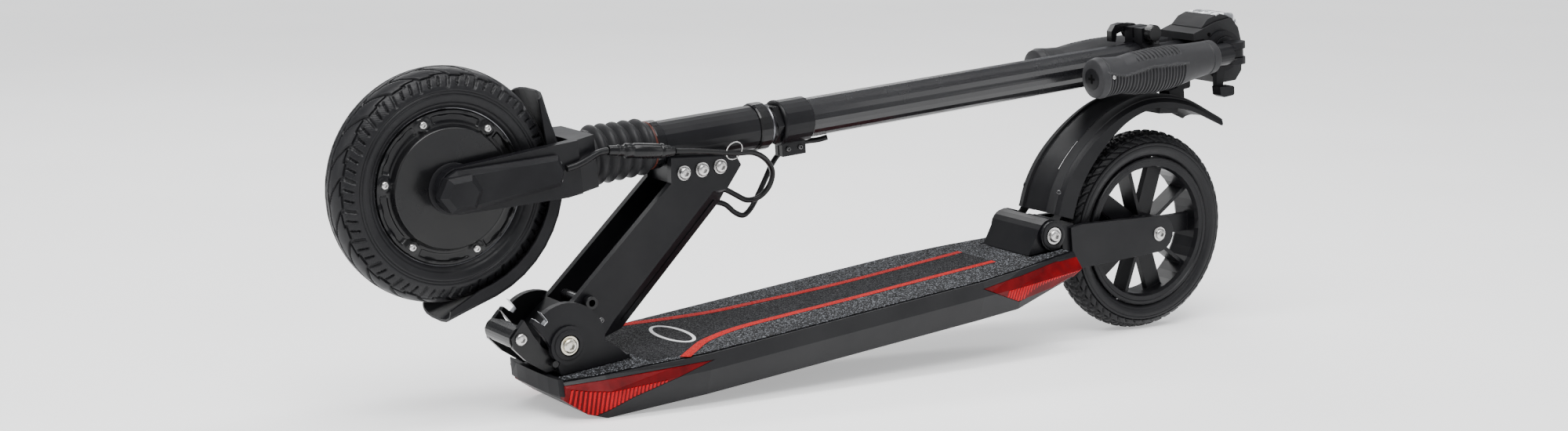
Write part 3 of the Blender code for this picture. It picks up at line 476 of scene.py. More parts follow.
def turned_to(direction, place):
    """A frame whose Z axis lies along a direction."""
    return Matrix.Translation(place) @ Vector(direction).to_track_quat("Z", "Y").to_matrix().to_4x4()


def moved(shape, matrix):
    points, faces = shape
    return [tuple(matrix @ Vector(point)) for point in points], faces


def button_head(radius, height, socket, place, direction):
    """A domed screw head with a hexagonal socket, standing on a place along a direction."""
    steps = 36
    key = socket * radius
    rim = 0.18 * height
    mouth = 1.12 * key
    levels = [(radius, 0.0), (radius, rim)]
    for degrees in range(15, 90, 15):
        turn = math.radians(degrees)
        levels.append((mouth + (radius - mouth) * math.cos(turn), rim + (height - rim) * math.sin(turn)))
    rings = [[(r * math.cos(t), r * math.sin(t), z) for t in angles(steps)] for r, z in levels]
    for z in (height, 0.35 * height):
        ring = []
        for t in angles(steps):
            facet = math.cos(math.radians(30)) / math.cos((t % math.radians(60)) - math.radians(30))
            ring.append((key * facet * math.cos(t), key * facet * math.sin(t), z))
        rings.append(ring)
    return moved(skin(rings), turned_to(direction, place))


def disc(radius, thickness, place, direction, steps=28):
    circle = [(radius * math.cos(t), radius * math.sin(t)) for t in angles(steps)]
    return moved(skin([[(x, y, z) for x, y in circle] for z in (0, thickness)]), turned_to(direction, place))


# ---- CAD pieces that stay, with better surfaces --------------------------------------------------


WELD_REACH = 0.00001
CAD_ROUNDING = 0.5
EDGE_ROUNDING = {
    "deck": 1.2,
    "fork": 1.6,
    "neck_arm": 1.2,
    "hinge_bracket": 1.0,
    "suspension_housing": 2.0,
    "rear_fork": 1.2,
    "left_fork_cover": 1.2,
    "right_fork_cover": 1.2,
    "head_housing": 1.5,
    "release_lever": 0.8,
    "rear_rim": 1.0,
}


def dress_cad():
    slots = {part["node"]: part["material_slot"] for part in frame["record"]["subparts"]}
    for name, node in NODES.items():
        node.data.materials.clear()
        slot_look = SLOT_LOOKS.get(slots[name], slots[name])
        node.data.materials.append(LOOK[NODE_LOOKS.get(name, slot_look)])
        weld = node.modifiers.new("joined corners", "WELD")
        weld.merge_threshold = WELD_REACH
        round_edges(node, EDGE_ROUNDING.get(name, CAD_ROUNDING) * MM)


dress_cad()


# ---- camera, floor and lights --------------------------------------------------------------------


def make_camera():
    data = bpy.data.cameras.new("camera")
    data.lens = CAMERA_LENS
    data.sensor_width = 36.0
    data.clip_end = 50
    camera = bpy.data.objects.new("camera", data)
    right = Vector(CAMERA_RIGHT).normalized()
    back = -Vector(CAMERA_FORWARD).normalized()
    up = back.cross(right).normalized()
    turn = Matrix((right, up, back)).transposed()
    rotation = DECK.to_3x3().normalized() @ turn
    camera.matrix_world = Matrix.Translation(DECK @ Vector(CAMERA_PLACE)) @ rotation.to_4x4()
    bpy.context.scene.collection.objects.link(camera)
    bpy.context.scene.camera = camera


def add_stage(name, data):
    obj = bpy.data.objects.new(name, data)
    bpy.context.scene.collection.objects.link(obj)
    return obj


def area_light(name, place, target, size, power):
    data = bpy.data.lights.new(name, "AREA")
    data.shape = "RECTANGLE"
    data.size, data.size_y = size
    data.energy = power
    add_stage(name, data).matrix_world = turned_to(Vector(place) - Vector(target), Vector(place))


def make_floor():
    points = [(-6, -6, 0), (6, -6, 0), (6, 6, 0), (-6, 6, 0)]
    data = bpy.data.meshes.new("floor")
    data.from_pydata(points, [], [(0, 1, 2, 3)])
    n = Nodes("pale_floor")
    shade = n.ramp(n.noise(3, 2), [(0.3, (0.86, 0.86, 0.86)), (0.7, (0.9, 0.9, 0.9))])
    n.feed(shade, "Base Color")
    n.shader.inputs["Roughness"].default_value = 0.6
    n.shader.inputs["Emission Color"].default_value = (1, 1, 1, 1)
    n.shader.inputs["Emission Strength"].default_value = 0.45
    data.materials.append(n.material)
    add_stage("floor", data)


def make_lights():
    world = bpy.data.worlds.new("studio")
    world.use_nodes = True
    sky = world.node_tree.nodes["Background"]
    sky.inputs["Color"].default_value = (0.94, 0.96, 1.0, 1)
    sky.inputs["Strength"].default_value = 0.45
    bpy.context.scene.world = world
    sun = bpy.data.lights.new("sky_panel", "SUN")
    sun.energy = 2.6
    sun.angle = math.radians(50)
    add_stage("sky_panel", sun).rotation_euler = (math.radians(18), math.radians(-14), 0)
    area_light("key", (-0.7, -1.2, 1.9), (0, 0, 0.15), (1.5, 0.8), 26)
    area_light("fill", (1.5, -1.5, 1.0), (0.2, 0, 0.15), (0.7, 1.2), 6)
    area_light("overhead_strip", (0.1, -0.25, 1.5), (0.1, 0, 0.2), (2.2, 0.18), 16)
    area_light("rim", (0.3, 1.8, 1.6), (0, 0, 0.15), (2.2, 0.5), 22)
    area_light("front", (-1.9, 0.1, 0.9), (-0.4, 0, 0.2), (0.5, 1.1), 8)


make_camera()
make_floor()
make_lights()


# ---- tyres ---------------------------------------------------------------------------------------


def tyre(name, node, body, placing, half_width, bead, relief, around, across):
    """A tyre whose tread is cut by a relief function of (turns round the wheel, angle round the section)."""
    reach = (WHEEL_RADIUS - bead) * 0.6
    middle = WHEEL_RADIUS - reach
    turn = np.linspace(0, 2 * math.pi, around, endpoint=False)
    lean = np.radians(np.linspace(-132, 132, across))
    turns, leans = np.meshgrid(turn, lean, indexing="ij")
    depth = relief(turns, np.degrees(leans))
    y = (half_width - depth * 0.9) * np.sin(leans)
    r = middle + (reach - depth) * np.cos(leans)
    inner = np.full((around, 1), bead - 0.3)
    y = np.hstack([y, np.full((around, 1), half_width * 0.66), np.full((around, 1), -half_width * 0.66)])
    r = np.hstack([r, inner, inner])
    turns = np.repeat(turn[:, None], y.shape[1], axis=1)
    points = np.stack([r * np.cos(turns), y, r * np.sin(turns)], axis=-1).reshape(-1, 3)
    faces = grid_faces(around, y.shape[1], True, True)
    made = piece(name, points, faces, "tyre", "tyre", body, placing, sharp=55)
    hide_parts(node)


def between(value, low, high, edge):
    """1 between two bounds and 0 outside, with soft edges of this width."""
    return np.clip((value - low) / edge, 0, 1) * np.clip((high - value) / edge, 0, 1)


def groove(value, width):
    """1 in a groove at whole numbers of value, and 0 elsewhere, with sloped walls."""
    away = np.abs(value - np.round(value))
    return np.clip((width - away) / (0.45 * width), 0, 1)


def front_tread(turns, lean):
    """Long curved grooves over the crown, a stepped ring, three-part shoulder blocks, a ringed side wall."""
    away = np.abs(lean)
    pitch = 22 * turns / (2 * math.pi) + 0.5 * (lean > 0)
    place = pitch + np.interp(away, [6, 20, 36, 44, 84], [0.0, 0.5, 0.86, 0.95, 0.8])
    share = place - np.floor(place)
    long_groove = groove(place, 0.07) * between(away, 7, 78, 3)
    short_groove = (groove(place + 1 / 3, 0.045) + groove(place + 2 / 3, 0.045)) * between(away, 46, 74, 2)
    step_place = np.where(share < 0.5, 40, 46)
    ring = between(away, step_place - 2.2, step_place + 2.2, 1.0)
    joint = groove(place + 0.5, 0.05) * between(away, 38, 48, 1)
    zigzag = 5 + 4 * np.abs(share - 0.5) * 2
    crown = between(away, zigzag - 1.8, zigzag + 1.8, 0.8)
    knurl = groove(pitch * 11 + away / 7, 0.3) * between(away, 49, 72, 2)
    wall = sum(between(away, centre - 1.8, centre + 1.8, 1.2) for centre in (86, 93, 117))
    return 2.1 * np.clip(long_groove + short_groove + ring + joint + crown, 0, 1) + 0.45 * knurl + 0.8 * wall


def rear_tread(turns, lean):
    """Small slanting blocks between narrow rings, and a ringed side wall."""
    away = np.abs(lean)
    pitch = 52 * turns / (2 * math.pi)
    slant = 0.6 * np.sin(np.radians(lean * 3.2))
    sipes = groove(pitch + slant, 0.16) * np.clip((70 - away) / 5, 0, 1)
    cross = groove(pitch + 0.5 - slant, 0.12) * np.clip((46 - away) / 5, 0, 1)
    rings = sum(np.clip((2.6 - np.abs(away - place)) / 1.2, 0, 1) for place in (0, 22, 46, 72))
    wall = sum(np.clip((1.6 - np.abs(away - place)) / 1.1, 0, 1) for place in (84, 92, 112))
    return 1.6 * np.clip(sipes + 0.8 * cross + rings, 0, 1) + 0.7 * wall


tyre("front_tyre_tread", "front_tyre", "front_wheel", DECK, 23.2, 66.3, front_tread, 792, 116)
tyre("rear_tyre_tread", "rear_tyre", "rear_wheel", REAR_WHEEL, 20.0, 74.9, rear_tread, 720, 84)


# ---- hub motor -----------------------------------------------------------------------------------

MOTOR_SCREWS = 6
SCREW_CIRCLE = 58.6
FIRST_SCREW = math.radians(-12.8)


def motor_face(name, node, side):
    """The motor's cover: a flat disc with a turned step, and a ring with bosses and arc-shaped recesses."""
    zones = [np.linspace(9, 50.6, 15), np.linspace(51.2, 53.4, 5), np.linspace(54, 64.6, 17), [64.8, 64.8]]
    radii = np.concatenate(zones)
    turn = np.linspace(0, 2 * math.pi, 240, endpoint=False)
    turns, r = np.meshgrid(turn, radii, indexing="ij")
    half_turn = math.pi / MOTOR_SCREWS
    from_screw = (turns - FIRST_SCREW + half_turn) % (2 * half_turn) - half_turn
    arc = SCREW_CIRCLE * np.abs(from_screw)
    y = np.where(r < 51, 25.6, 0.0) + np.where(r < 17, 1.6 * np.clip((17 - r) / 2, 0, 1), 0)
    slope = 25.6 - 6.2 * np.clip((r - 51) / 2.2, 0, 1)
    y = np.where(r >= 51, slope, y)
    away = np.hypot(arc, r - SCREW_CIRCLE)
    boss = np.clip((6.6 - away) / 1.2, 0, 1)
    recess = between(r, 55.2, 62.2, 0.9) * np.clip((arc - 8.5) / 1.5, 0, 1)
    notch = np.clip((4.0 - np.abs(arc - 20)) / 1.5, 0, 1) * np.clip((r - 60.5) / 1, 0, 1)
    y = y + 1.3 * boss - 1.6 * recess + 0.8 * notch * (1 - boss)
    y[:, -1] = 12.0
    points = np.stack([r * np.cos(turns), side * y, r * np.sin(turns)], axis=-1).reshape(-1, 3)
    faces = grid_faces(len(turn), len(radii), True, False)
    made = piece(name, points, faces, "gloss_black", "gloss_black", "front_wheel", sharp=42)
    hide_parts(node)
    screws = []
    for k in range(MOTOR_SCREWS):
        t = FIRST_SCREW + 2 * math.pi * k / MOTOR_SCREWS
        place = (SCREW_CIRCLE * math.cos(t), side * 20.5, SCREW_CIRCLE * math.sin(t))
        screws.append(button_head(3.4, 2.4, 0.5, place, (0, side, 0)))
    piece(name + "_screws", *merged(*screws), "zinc", "zinc_steel", "front_wheel")
    edge = mirrored(side, [(16.6, 65.6), (17.5, 66.0), (17.7, 66.7), (17.0, 67.3), (16.2, 67.2)])
    piece(name + "_bright_edge", *turned(edge, "Y", steps=120), "steel_ring", "zinc_steel", "front_wheel")
    seat = mirrored(side, [(25.0, 21.5), (26.6, 22.0), (27.4, 20.6), (27.4, 10), (25, 10)])
    piece(name + "_hub_seal", *turned(seat, "Y", steps=96), "black_plastic", "black_plastic", "front_wheel")


motor_face("left_motor_face", "left_motor_cover", -1)
motor_face("right_motor_face", "right_motor_cover", 1)


# ---- rear wheel ----------------------------------------------------------------------------------


def rear_hub_details():
    for hand, side in HANDS:
        cap = mirrored(side, [(23.5, 5), (23.5, 13.2), (25.6, 12.4), (26.2, 11), (26.2, 5)])
        seal = turned(cap, "Y", steps=64)
        piece(f"{hand}_rear_bearing_seal", *seal, "black_rubber", "rubber", "rear_wheel", REAR_WHEEL)
        edge = mirrored(side, [(18.2, 70.2), (19.0, 71.0), (19.0, 73.4), (18.2, 74.2), (17.2, 72)])
        ring = turned(edge, "Y", steps=120)
        piece(f"{hand}_rear_rim_edge", *ring, "satin_black", "satin_black", "rear_wheel", REAR_WHEEL)


rear_hub_details()


# ---- bolts ---------------------------------------------------------------------------------------


NECK_BOLT_Z = -24.5
WASHER_THICKNESS = 0.9


def cross_bolt(name, node, body, placing, place, shank, half_length, head, height, washer, look="zinc"):
    """A bolt along Y with a washer and a socket head at each end, in place of its plain solid."""
    x, z = place
    bar = [(-half_length, shank), (half_length, shank), (half_length, 0.4), (-half_length, 0.4)]
    shapes = [turned(bar, "Y", (x, 0, z), 32)]
    for side in SIDES:
        seat = side * half_length
        head_seat = seat + side * WASHER_THICKNESS
        ring = [(seat, shank), (seat, washer), (head_seat, washer - 0.3), (head_seat, shank)]
        shapes.append(turned(ring, "Y", (x, 0, z), 48))
        shapes.append(button_head(head, height, 0.52, (x, head_seat, z), (0, side, 0)))
    made = piece(name, *merged(*shapes), look, "zinc_steel", body, placing)
    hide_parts(node)


cross_bolt("hinge_bolt_socket_heads", "hinge_bolt", "frame", DECK, HINGE, 6, 36.4, 6.6, 3.6, 8.6, "gold_zinc")
cross_bolt("suspension_bolt_heads", "suspension_bolt", "frame", DECK, SUSPENSION_BOLT, 5, 40.4, 6.2, 3.4, 8.4)
cross_bolt("rear_axle_heads", "rear_axle", "swing_arm", DECK, REAR_AXLE, 4.4, 34.4, 5.4, 3.0, 7.2)
for number, station in enumerate((220.0, 238.5, 257.0), start=1):
    bolt = f"neck_bolt_{number}"
    cross_bolt(bolt + "_socket_heads", bolt, "neck", STEM, (station, NECK_BOLT_Z), 4, 25.5, 5.6, 3.6, 6.8)


# ---- bellows and stem rings ----------------------------------------------------------------------


RIB_PITCH = 11.2


def make_bellows():
    """A boot of five round ribs, each a little narrower than the one before it along the stem."""
    outer = [(BELLOWS_START, 20.6), (BELLOWS_START, 22.4), (139.2, 23.0)]
    for k in range(5):
        centre = 145.2 + RIB_PITCH * k
        radius = 26.6 - 0.35 * k
        half = ((0.12, 0.35), (0.28, 2.0), (0.42, 3.9))
        section = [(-share, drop) for share, drop in reversed(half)] + [(0.0, 0.0), *half]
        outer += [(centre + RIB_PITCH * share, radius - drop) for share, drop in section]
    outer += [(196.0, 21.8), (BELLOWS_END, 21.2)]
    inner = [(BELLOWS_END, 18.9), (BELLOWS_START, 18.9)]
    boot = turned(outer + inner)
    made = piece("ribbed_bellows", *boot, "black_rubber", "rubber", "front_fork", STEM, sharp=60)
    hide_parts("bellows")
    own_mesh(made)
    ring = [(197.9, 19.5), (197.9, 21.2), (198.8, 21.6), (199.6, 21.2), (199.6, 19.5)]
    piece("copper_dust_ring", *turned(ring), "copper", "zinc_steel", "neck", STEM)


make_bellows()


def stem_details():
    ring = [(319.2, 15.5), (319.2, 18.9), (320.4, 19.3), (321.6, 18.7), (322.4, 17.5), (322.4, 15.5)]
    piece("headset_step_ring", *turned(ring), "steel_ring", "zinc_steel", "steering", STEM)
    lip = [(331.6, 19), (331.6, 20.3), (332.2, 20.8), (333.8, 20.8), (334.4, 20.3), (334.4, 19)]
    piece("collar_front_lip", *turned(lip), "satin_black", "satin_black", "steering", STEM)
    places = [(x, side) for side in SIDES for x in (340.0, 353.0)]
    screws = [button_head(2.6, 2.0, 0.5, (x, side * 6.4, -24.5), (0, side, 0)) for x, side in places]
    piece("collar_screws", *merged(*screws), "dark_steel", "zinc_steel", "steering", STEM)


stem_details()


# ---- grips ---------------------------------------------------------------------------------------

# x along the bar, top, bottom and half width of the grip's section
GRIP_STATIONS = [
    (GRIP_START, 13, -16, 13),
    (663, 17, -20, 17),
    (669, 18.5, -21.5, 18.5),
    (680, 17, -20.5, 17),
    (694, 16, -20, 16.5),
    (712, 18, -23.5, 17.5),
    (735, 19, -25.5, 18.5),
    (758, 18.5, -24, 18),
    (780, 17, -20, 17),
    (800, 16.5, -17, 16.5),
    (GRIP_END, 16.5, -16.5, 16.5),
]


def grip_relief(x, phi):
    """The height of the grip's moulded pattern at x, phi degrees up from its outer side."""
    border = np.interp(x, [667, 690, 724, 768], [20, 5, 19, 11])
    panel = between(phi, -112, border - 3, 3) * between(x, 671, 766, 1)
    ribs = -2.0 * panel * groove((x - 671) / 4.0, 0.32)
    ridge = 1.2 * np.clip((2.6 - np.abs(phi - border)) / 1.2, 0, 1) * between(x, 667, 769, 1.5)
    slits = -2.0 * between(phi, 40, 96, 3) * between(x, 708, 762, 1) * groove((x - 708 + phi / 12) / 4.8, 0.2)
    rings = -0.8 * (between(x, 671.0, 672.6, 0.5) + between(x, 801.5, 803.0, 0.5))
    return ribs + ridge + slits + rings


def grip(name, node, side, body):
    """A soft grip with a ribbed palm panel, cut lines along its top, an end plug and a small screw."""
    stations = np.array(GRIP_STATIONS)
    along = np.linspace(GRIP_START, GRIP_END, 320)
    turn = np.linspace(0, 2 * math.pi, 120, endpoint=False)
    x, turns = np.meshgrid(along, turn, indexing="ij")
    top, bottom, half = (np.interp(x, stations[:, 0], stations[:, k]) for k in (1, 2, 3))
    soften = np.clip(np.minimum(x - GRIP_START, GRIP_END - x) / 1.4, 0, 1)
    phi = np.degrees(np.arctan2(np.sin(turns), side * np.cos(turns)))
    extra = grip_relief(x, phi) - 1.2 * (1 - soften)
    y = side * BAR_Y + (half + extra) * np.cos(turns)
    z = (top + bottom) / 2 + ((top - bottom) / 2 + extra) * np.sin(turns)
    shape = skin(np.stack([x, y, z], axis=-1))
    made = piece(name, *shape, "grey_rubber", "grey_rubber", body, STEM, sharp=50)
    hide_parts(node)
    centre = (0, side * BAR_Y, -1.5)
    plug = [(661.6, 0.5), (660.9, 0.5), (660.7, 9.4), (661.0, 10.2), (661.6, 10.4)]
    piece(name + "_end_plug", *turned(plug, "X", centre, 48), "black_plastic", "grey_rubber", body, STEM)
    # The end plug's cross is a near-black sheet of painted shade where the plug's cross is recessed.
    bars = ((4.5, (-2.6, -0.4)), (1.1, (-6, 3)))
    middle = side * BAR_Y
    cross = merged(*(box((660.5, 661.2), (middle - half, middle + half), height) for half, height in bars))
    piece(name + "_end_cross_painted_shade", *cross, "dark_hole", "grey_rubber", body, STEM)
    screw = button_head(1.9, 0.9, 0.5, (674.2, side * (BAR_Y + 17.5), 0.3), (-0.1, side, 0.05))
    piece(name + "_screw", *screw, "zinc", "zinc_steel", body, STEM)


grip("left_ribbed_grip", "left_grip", -1, "left_handle")
grip("right_ribbed_grip", "right_grip", 1, "right_handle")


# ---- fork, neck and hinge details ----------------------------------------------------------------


def fork_details():
    for hand, side in HANDS:
        out = (0, side, 0)
        hole_places, screw_places = ((20.6, 7.6), (20.6, -8.6)), ((91.5, 6.2), (91.0, -8.2))
        # Near-black discs are painted shade at the cover's holes.
        painted_hole_shades = [disc(2.1, 0.5, (x, side * 43.05, z), out) for x, z in hole_places]
        piece(f"{hand}_fork_cover_painted_hole_shade", *merged(*painted_hole_shades), "dark_hole", "black_plastic", "front_fork")
        screws = [button_head(2.6, 1.4, 0.55, (x, side * 42.2, z), out) for x, z in screw_places]
        piece(f"{hand}_fork_cover_screws", *merged(*screws), "dark_steel", "zinc_steel", "front_fork")


def around_hinge(radius, turn):
    return HINGE[0] + radius * math.cos(turn), HINGE[1] + radius * math.sin(turn)


SLOT_MOUTH = 40.0
SLOT_FLOOR = 28.9
SLOT_SIDES = (122.6, 134.4)
LINING_SHARE = 0.09


def hinge_details():
    rolls, washers, linings = [], [], []
    for side in SIDES:
        rolls.append(button_head(5.6, 3.2, 0.5, (45.5, side * 26.3, -141.0), (0, side, 0)))
        step = mirrored(side, [(36.0, 9.4), (37.6, 9.8), (37.8, 11.8), (37.0, 13.4), (36.0, 13.6)])
        washers.append(turned(step, "Y", (HINGE[0], 0, HINGE[1]), 56))
        arc = [math.radians(a) for a in (SLOT_SIDES[0], 125, 128, 131, SLOT_SIDES[1])]
        mouth = [around_hinge(SLOT_MOUTH, arc[0]), around_hinge(SLOT_MOUTH, arc[-1])]
        outer = [mouth[0], *(around_hinge(SLOT_FLOOR, a) for a in arc), mouth[1]]
        mid_x, mid_z = around_hinge(SLOT_MOUTH - 2, arc[2])
        inner = [(x + (mid_x - x) * LINING_SHARE, z + (mid_z - z) * LINING_SHARE) for x, z in reversed(outer)]
        linings.append(prism(outer + inner, side * 26.7, side * 33.2))
    piece("latch_roller_screws", *merged(*rolls), "zinc", "zinc_steel", "latch")
    piece("hinge_bolt_seats", *merged(*washers), "black_rubber", "rubber", "frame")
    piece("latch_slot_edges", *merged(*linings), "machined", "aluminium", "frame", sharp=25)


def arm_point(along, across):
    """A point by its distance along the neck from the hinge, and across it to the rear."""
    x, z = around_hinge(along, NECK_ANGLE)
    return x + across * math.sin(NECK_ANGLE), z - across * math.cos(NECK_ANGLE)


def neck_details():
    stubs, screws = [], []
    for side in SIDES:
        stubs.append(disc(6.0, 6.4, (112.9, side * 26.6, -122.6), (0, side, 0), 40))
        screws.append(button_head(3.0, 1.2, 0.55, (123.6, side * 24.9, -142.2), (0, side, 0)))
    corners = ((33.6, 20.4), (34.4, 20.4), (34.4, 19.2), (33.6, 19.2))
    seams = []
    for side in SIDES:
        rows = []
        for along in (50, 186):
            spots = [(*arm_point(along, across), side * y) for across, y in corners]
            rows.append([(x, y, z) for x, z, y in spots])
        seams.append(skin(rows))
    piece("neck_side_seams", *merged(*seams), "dark_hole", "satin_black", "neck")
    piece("neck_stop_stubs", *merged(*stubs), "gloss_black", "gloss_black", "neck", sharp=30, bevel=0.6)
    piece("neck_cheek_screws", *merged(*screws), "dark_steel", "zinc_steel", "neck")


def wire_ring():
    """The wire ring that holds the looped cable to the neck."""
    centre = Vector((267.2, -33.5, -17.0))
    loop = [centre + Vector((8.2 * math.cos(t), -3 * math.sin(t), 8.2 * math.sin(t))) for t in angles(40)]
    rings = []
    for k, here in enumerate(loop):
        ahead = (loop[(k + 1) % len(loop)] - loop[k - 1]).normalized()
        up = ahead.orthogonal().normalized()
        across = ahead.cross(up)
        rings.append([tuple(here + (up * math.cos(t) + across * math.sin(t)) * 0.55) for t in angles(8)])
    piece("cable_wire_ring", *skin(rings, closed=True), "zinc", "zinc_steel", "neck")


fork_details()
hinge_details()
neck_details()
wire_ring()


PLUG_START = Vector((142, -36, 7))
PLUG_TILT = math.radians(11)


def connector():
    """The motor lead's plug: a stepped barrel with a collar at each end."""
    front = [(142, 0.6), (142, 4.0), (144, 4.4), (150, 4.6), (150.6, 5.2), (152.4, 5.2), (153, 4.8)]
    barrel = [(156.5, 5.0), (158, 6.5), (163, 6.7), (163.6, 6.3), (166, 6.3), (166.6, 6.7), (190, 6.7)]
    rear = [(192.5, 6.1), (193.2, 6.6), (195.4, 6.5), (196, 5.6), (201, 5.0), (206.4, 3.8), (206.4, 0.6)]
    to_start = Matrix.Translation((-PLUG_START.x, 0, 0))
    turn = Matrix.Translation(PLUG_START) @ Matrix.Rotation(PLUG_TILT, 4, "Y") @ to_start
    plug = moved(turned(front + barrel + rear, steps=40), turn)
    made = piece("motor_lead_plug", *plug, "gloss_black", "gloss_black", "front_fork")
    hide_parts("cable_connector")


connector()


# ---- rear mudguard and housing -------------------------------------------------------------------

MUDGUARD_LINE = [
    (616, 25, -146), (627, 25, -121), (647, 23, -96), (678, 19, -73),
    (714, 15, -57), (752, 13, -53), (796, 12, -64), (840, 9, -91),
]
MUDGUARD_SLOTS = ((636, 660), (671, 699))
GUARD_HALF = 31.0
GUARD_INNER_HALF = 28.8
BAND_EDGE = 17.0
SLOT_EDGES = (15.1, 14.0)
GUARD_COLUMNS = [GUARD_HALF, 30.5, 29.4, 28.0, 25.5, 22.0, 18.6, 17.6, BAND_EDGE, *SLOT_EDGES, 7.0]


def guard_depth(y):
    """How far the mudguard's outside lies below its crown line."""
    arch = np.interp(abs(y), [12, 22, 28, 31], [0, 1.4, 3.8, 7.2])
    return float(arch + (1.1 if abs(y) < BAND_EDGE + 0.1 else 0.0))


def guard_frames():
    line = smooth_curve(MUDGUARD_LINE, 9)
    for k, (x, skirt, z) in enumerate(line):
        before, after = line[max(k - 1, 0)], line[min(k + 1, len(line) - 1)]
        yield x, skirt, z, Vector((after[2] - before[2], 0, before[0] - after[0])).normalized()


def in_slot(x):
    return any(low <= x < high for low, high in MUDGUARD_SLOTS)


def open_slots(faces, size, row_x, slot_columns):
    """The faces without those over the slots, and the slots' own walls."""
    kept, walls = [], []
    for face in faces:
        row, column = divmod(face[0], size)
        mirror = size - 2 - column
        if len(face) != 4 or not in_slot(row_x[row]) or not {column, mirror} & slot_columns:
            kept.append(face)
            continue
        if column in slot_columns:
            a, b = row * size + column, row * size + size - 1 - column
            c, d = a + size, b + size
            walls += [(a, b, d, c), (a + 1, b - 1, d - 1, c + 1)]
            if not in_slot(row_x[row - 1]):
                walls.append((a, b, b - 1, a + 1))
            if not in_slot(row_x[row + 1]):
                walls.append((c, d, d - 1, c + 1))
    return kept + walls


def guard_section(skirt):
    """Distances across and depths under the crown line, round the guard's outside and back inside."""
    columns = GUARD_COLUMNS + [-y for y in reversed(GUARD_COLUMNS)]
    out = [(GUARD_HALF, skirt)] + [(y, guard_depth(y)) for y in columns] + [(-GUARD_HALF, skirt)]
    under = [(GUARD_INNER_HALF, skirt)]
    for y in columns:
        wall = 1.5 if abs(y) < BAND_EDGE + 0.1 else 2.4
        under.append((y * GUARD_INNER_HALF / GUARD_HALF, guard_depth(y * 0.99) + wall))
    under.append((-GUARD_INNER_HALF, skirt))
    return columns, out + under[::-1]


def rear_guard():
    rings, row_x = [], []
    for x, skirt, z, inward in guard_frames():
        columns, section = guard_section(skirt)
        rings.append([tuple(Vector((x, y, z)) + inward * depth) for y, depth in section])
        row_x.append(x)
    points, faces = skin(rings)
    slot_columns = {columns.index(SLOT_EDGES[0]) + 1, columns.index(-SLOT_EDGES[1]) + 1}
    shell = (points, open_slots(faces, len(rings[0]), row_x, slot_columns))
    catch = prism([(788, -62.5), (807, -70.5), (807, -52), (801, -51), (799, -56), (788, -58)], -8, 8)
    pins = []
    for side in SIDES:
        pin = mirrored(side, [(24.8, 0.4), (24.8, 3), (29, 3), (29, 0.4)])
        pins.append(turned(pin, "Y", (629, 0, -146), 20))
    whole = merged(shell, catch, *pins)
    made = piece("slotted_mudguard", *whole, "black_plastic", "black_plastic", "brake_guard", sharp=38)
    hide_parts("rear_mudguard")


def guard_trim():
    lifts = ((18.4, -0.1), (18.8, -0.9), (27.2, -0.9), (27.6, 0.1))
    corners = [(y, guard_depth(y) + lift) for y, lift in lifts]
    strips, screws = [], []
    for side in SIDES:
        rows = []
        for x, _, z, inward in guard_frames():
            rows.append([tuple(Vector((x, side * y, z)) + inward * depth) for y, depth in corners])
        strips.append(skin(rows))
        screws.append(button_head(2.3, 1.0, 0.5, (627.3, side * 27.0, -127.2), (-0.6, side * 0.8, 0.26)))
    piece("mudguard_side_strips", *merged(*strips), "grey_plastic", "black_plastic", "brake_guard", sharp=30)
    piece("mudguard_screws", *merged(*screws), "dark_steel", "zinc_steel", "brake_guard")


rear_guard()
guard_trim()


def housing_details():
    seats = []
    for side in SIDES:
        step = mirrored(side, [(40.0, 9.2), (41.4, 9.6), (41.6, 11.4), (41.0, 12.8), (40.0, 13.0)])
        seats.append(turned(step, "Y", (SUSPENSION_BOLT[0], 0, SUSPENSION_BOLT[1]), 56))
    piece("suspension_bolt_seats", *merged(*seats), "black_rubber", "rubber", "frame")


housing_details()


# ---- head ----------------------------------------------------------------------------------------


def head_details():
    ridges, screws = [], []
    for side in SIDES:
        for low, high in ((16.4, 17.8), (19.6, 21.0)):
            sweep = [math.radians(a) for a in range(-20, 131, 6)]
            outline = [(BAR_X + high * math.cos(a), high * math.sin(a)) for a in sweep]
            outline += [(BAR_X + low * math.cos(a), low * math.sin(a)) for a in reversed(sweep)]
            ridges.append(prism(outline, side * 24.8, side * 26.2))
        # Near-black discs are painted shade at the screw holes.
        screws.append(disc(1.8, 0.5, (828, side * 24.9, 18), (0, side, 0)))
    front = [(820.6, 25.0), (829.5, 32.6), (840, 35.5), (840, 34.0), (830.4, 31.0), (822.4, 24.4)]
    cheek = [(822.4, 25.6), (830, 32.2), (846, 36.0), (853, 33.8), (857, 31.6), (838, 29.6)]
    visor = merged(prism(front, -22.3, 22.3), prism(cheek, -22.7, -21.6), prism(cheek, 21.6, 22.7))
    piece("head_visor", *visor, "grey_plastic", "black_plastic", "bars", STEM, sharp=30)
    piece("head_side_ridges", *merged(*ridges), "black_plastic", "black_plastic", "bars", STEM, sharp=30)
    piece("head_screw_painted_hole_shade", *merged(*screws), "dark_hole", "black_plastic", "bars", STEM)


head_details()


# ---- deck surface --------------------------------------------------------------------------------


def ribbon(points, width_start, width_end, z, thickness=0.25):
    """A flat painted band along a curve in the deck's plane, tapered at its ends."""
    line = smooth_curve([(x, y, 0) for x, y in points], 8)
    rings = []
    for k, here in enumerate(line):
        before, after = line[max(k - 1, 0)], line[min(k + 1, len(line) - 1)]
        across = Vector((-(after - before).y, (after - before).x, 0)).normalized()
        share = k / (len(line) - 1)
        width = (width_start + (width_end - width_start) * share) / 2
        left, right = here + across * width, here - across * width
        spots = ((left, z), (right, z), (right, z + thickness), (left, z + thickness))
        rings.append([(spot.x, spot.y, height) for spot, height in spots])
    return skin(rings)


